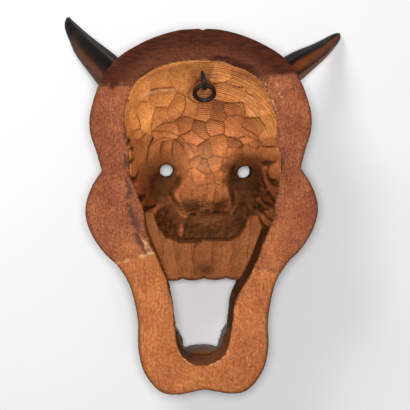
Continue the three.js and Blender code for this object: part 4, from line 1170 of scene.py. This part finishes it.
# the stain on the horns: black above, bare wood along the middle, a painted grey sheen on the ridge, and worn below
HORN_MARKS = ("black", "bare", "ridge_sheen", "worn", "round_x", "round_z", "along")
horn_paint = Paint("stained_horn")
black, bare, ridge_sheen, worn, round_x, round_z, along = (horn_paint.mark(name) for name in HORN_MARKS)
streak = horn_paint.noise(horn_paint.point(round_x * 5, round_z * 5, along * 7), 1.3, 5, 0.7)
soft = horn_paint.noise(horn_paint.place, 60, 3, 0.6)
horn_colour = horn_paint.layers(
    horn_paint.blend(horn_paint.ramp(streak, 0.35, 0.7), (24, 12, 8), (44, 23, 14)),
    (bare * (0.35 + 0.9 * soft), horn_paint.blend(streak, (134, 70, 32), (92, 44, 18))),
    (worn * (0.4 + 0.9 * soft), horn_paint.blend(streak, (150, 98, 70), (96, 56, 38))),
    (black * (0.75 + 0.4 * soft), (10, 7, 6)),
    (ridge_sheen * horn_paint.ramp(streak, 0.25, 0.5), (124, 108, 98)),
)
horn_paint.finish(horn_colour, 0.42 + 0.2 * streak, streak, 0.4, 0.4)
horn_paint.shader.inputs["Specular IOR Level"].default_value = 0.08

HORN_SIDES, HORN_RINGS = 36, 70
RIDGE_AT, RIDGE_WIDE = 0.62, 0.13
for node, stations in HORNS.items():
    horn, path = bent_bar(node + "_carved", stations, HORN_SIDES, HORN_RINGS)
    way = -1 if node == "horn_left" else 1
    local, k = places_on(horn, path)
    core, along = path[k, :3], k / (HORN_RINGS - 1)
    off = (local - core) / path[k, 3:]
    line = path[np.minimum(k + 3, HORN_RINGS - 1), :2] - path[np.maximum(k - 3, 0), :2]
    line = line / np.linalg.norm(line, axis=1)[:, None]
    above, facing = way * (off[:, 1] * line[:, 0] - off[:, 0] * line[:, 1]), off[:, 2]
    ridge = np.exp(-(((above - RIDGE_AT) / RIDGE_WIDE) ** 2)) * np.maximum(0, facing)
    swell = 1 + 0.03 * ridge - 0.02 * (1 - ridge) + 0.012 * np.sin(9 * along + 5 * above)
    local = core + (local - core) * swell[:, None]
    local[:, 2] = np.maximum(0.02, local[:, 2])
    move_points(horn, local, [np.array(corner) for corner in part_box(node)])
    # a painted sheen on the ridge where it faces up
    ridge_sheen = ease(0.35, 0.95, ridge) * ease(0.05, 0.3, along)
    if way > 0:
        black = np.maximum(ease(0.2, 0.46, above), 0.65 * mound(above + 0.45, 0, 0.07, 1))
        bare = 1.1 * mound(above + 0.06, 0, 0.36, 1, 4) * ease(0, 0.3, along) * ease(1, 0.85, along)
        worn = ease(-0.48, -0.6, above) * ease(0.98, 0.8, along)
        ridge_sheen = 0.3 * ridge_sheen
    else:
        black = np.maximum(ease(-0.2, 0.2, above), ease(0.6, 0.85, along))
        bare = 0.3 * mound(above + 0.5, 0, 0.22, 1, 3) * ease(0.8, 0.4, along)
        worn = 0.32 * ease(-0.25, -0.5, above) * ease(0.85, 0.45, along)
        ridge_sheen = 0.9 * ridge_sheen
    for name, values in zip(HORN_MARKS, (black, bare, ridge_sheen, worn, above, facing, along)):
        horn.data.attributes.new(name, "FLOAT", "POINT").data.foreach_set("value", values.astype(np.float32))
    finish_piece(horn, node, horn_paint)


# The iron ring and its pin: a forged ring lying on the slope of the hollow, held by a flat
# pin that is driven into the wood above it and bent round the wire.
RING_MIDDLE = Vector((4.7, 98, 80.6))
RING_RADIUS, RING_WIRE, RING_TILT = 8.7, 2.1, math.radians(40)
iron = Paint("dark_iron")
rust = iron.noise(iron.place, 500, 4, 0.65)
iron_colour = iron.blend(iron.ramp(rust, 0.5, 0.75), (46, 42, 42), (86, 58, 42))
iron.finish(iron_colour, 0.4 + 0.25 * rust, rust, 0.5, 0.4)
iron.shader.inputs["Metallic"].default_value = 0.7
ring_at = middle + RING_MIDDLE * MM
up_slope = Vector((0, math.cos(RING_TILT), math.sin(RING_TILT)))
off_slope = Vector((0, -math.sin(RING_TILT), math.cos(RING_TILT)))
bpy.ops.object.select_all(action="DESELECT")
bpy.ops.mesh.primitive_torus_add(
    major_segments=96, minor_segments=20, major_radius=RING_RADIUS * MM, minor_radius=RING_WIRE * MM,
    location=ring_at, rotation=(RING_TILT, 0, 0),
)
ring = bpy.context.active_object
ring.name = "forged_ring"
bpy.ops.object.transform_apply(location=True, rotation=True, scale=True)
for vertex in ring.data.vertices:
    away = vertex.co - ring_at
    angle = math.atan2(away.dot(up_slope), away.x)
    core = ring_at + (Vector((1, 0, 0)) * math.cos(angle) + up_slope * math.sin(angle)) * RING_RADIUS * MM
    thin = 0.95 - 0.05 * math.sin(3 * angle + 1) - 0.04 * math.sin(7 * angle)
    vertex.co = core + (vertex.co - core) * thin
finish_piece(ring, "hanging_ring", iron)

# the pin bends round the top of the ring's wire, with a small gap to it all the way
PIN_THICK, PIN_GAP = 0.9, 0.4
PIN_SIDES, PIN_RINGS = 20, 70
hook = RING_WIRE + PIN_THICK + PIN_GAP
ring_top = RING_MIDDLE + up_slope * RING_RADIUS


def pin_place(up, off, x):
    place = ring_top + up_slope * up + off_slope * off
    return (x, place.y, place.z)


pin_line = [
    pin_place(19.5, -1.6, 2.0), pin_place(12.5, 0.4, 2.6), pin_place(9, 1.4, 3.2),
    pin_place(5, hook - 0.4, 3.8), pin_place(1.6, hook, 4.2),
]
for degrees in range(75, -101, -25):
    angle = math.radians(degrees)
    pin_line.append(pin_place(-hook * math.cos(angle), hook * math.sin(angle), 4.3))
thicknesses = [0.7, 0.75, 0.8] + 9 * [PIN_THICK] + [0.85]
widths = [0.8, 0.9, 1.35, 2.0, 2.2, 2.2, 2.2, 2.2, 2.1, 2.0, 1.9, 1.7, 1.55]
pin_stations = [(*place, thick) for place, thick in zip(pin_line, thicknesses)]
pin, path = bent_bar("bent_pin", pin_stations, PIN_SIDES, PIN_RINGS)
local, k = places_on(pin, path)
wide = np.interp(k / (PIN_RINGS - 1), np.linspace(0, 1, len(widths)), widths) / path[k, 3]
local[:, 0] = path[k, 0] + (local[:, 0] - path[k, 0]) * wide
move_points(pin, local)
finish_piece(pin, "ring_pin", iron)


# The table that the mask lies on, the light and the camera, which looks down on the mask's back.
# The table is plain and pale, and the light is soft: one lamp beside the camera and one by the crown.
bpy.ops.object.select_all(action="DESELECT")
bpy.ops.mesh.primitive_plane_add(size=6, location=(0, 0, 0))
table = bpy.context.active_object
table.name = "table"
table_paint = Paint("pale_table")
table_paint.shader.inputs["Base Color"].default_value = tone(222, 221, 222)
table_paint.shader.inputs["Roughness"].default_value = 0.9
table_paint.shader.inputs["Specular IOR Level"].default_value = 0.1
table.data.materials.append(table_paint.material)

# the picture's size and the column of the mask's middle in pixels, and a pixel's width at the rim
PICTURE = 410
MASK_AT = 202
PIXEL = 0.875 * MM
SENSOR = 36
DISTANCE = 1.3
FOCAL = DISTANCE / PIXEL
yaw, pitch, roll = math.radians(2.5), math.radians(4.0), math.radians(0.7)
back = Vector((-math.sin(yaw) * math.cos(pitch), math.sin(pitch), math.cos(yaw) * math.cos(pitch)))
level = Vector((0, 1, 0)).cross(back).normalized()
upright = back.cross(level)
right_way = math.cos(roll) * level - math.sin(roll) * upright
up_way = math.sin(roll) * level + math.cos(roll) * upright
sight = right_way * (MASK_AT - PICTURE / 2) / FOCAL - back
eye = middle + Vector((0, 0, RIM_HEIGHT * MM)) - sight * DISTANCE
camera = bpy.data.objects.new("camera", bpy.data.cameras.new("camera"))
bpy.context.scene.collection.objects.link(camera)
turned = Matrix((right_way, up_way, back)).transposed()
camera.matrix_world = Matrix.Translation(eye) @ turned.to_4x4()
camera.data.sensor_width = SENSOR
camera.data.lens = SENSOR * FOCAL / PICTURE
bpy.context.scene.camera = camera

world = bpy.data.worlds.new("studio")
bpy.context.scene.world = world
world.use_nodes = True
sky = world.node_tree.nodes["Background"].inputs
sky["Color"].default_value, sky["Strength"].default_value = (1.0, 0.99, 0.98, 1), 0.20
for name, spot, size, power in (
    ("front", tuple(eye + up_way * 0.01 + back * 0.05), 0.2, 17),
    ("crown_side", (-0.5, 0.8, 0.9), 0.45, 8.5),
):
    lamp = bpy.data.objects.new(name, bpy.data.lights.new(name, "AREA"))
    bpy.context.scene.collection.objects.link(lamp)
    lamp.location = spot
    lamp.data.size, lamp.data.energy = size, power
    lamp.rotation_euler = (Vector((0, 0, 0.05)) - Vector(spot)).to_track_quat("-Z", "Y").to_euler()
bpy.context.scene.view_settings.view_transform = "Standard"
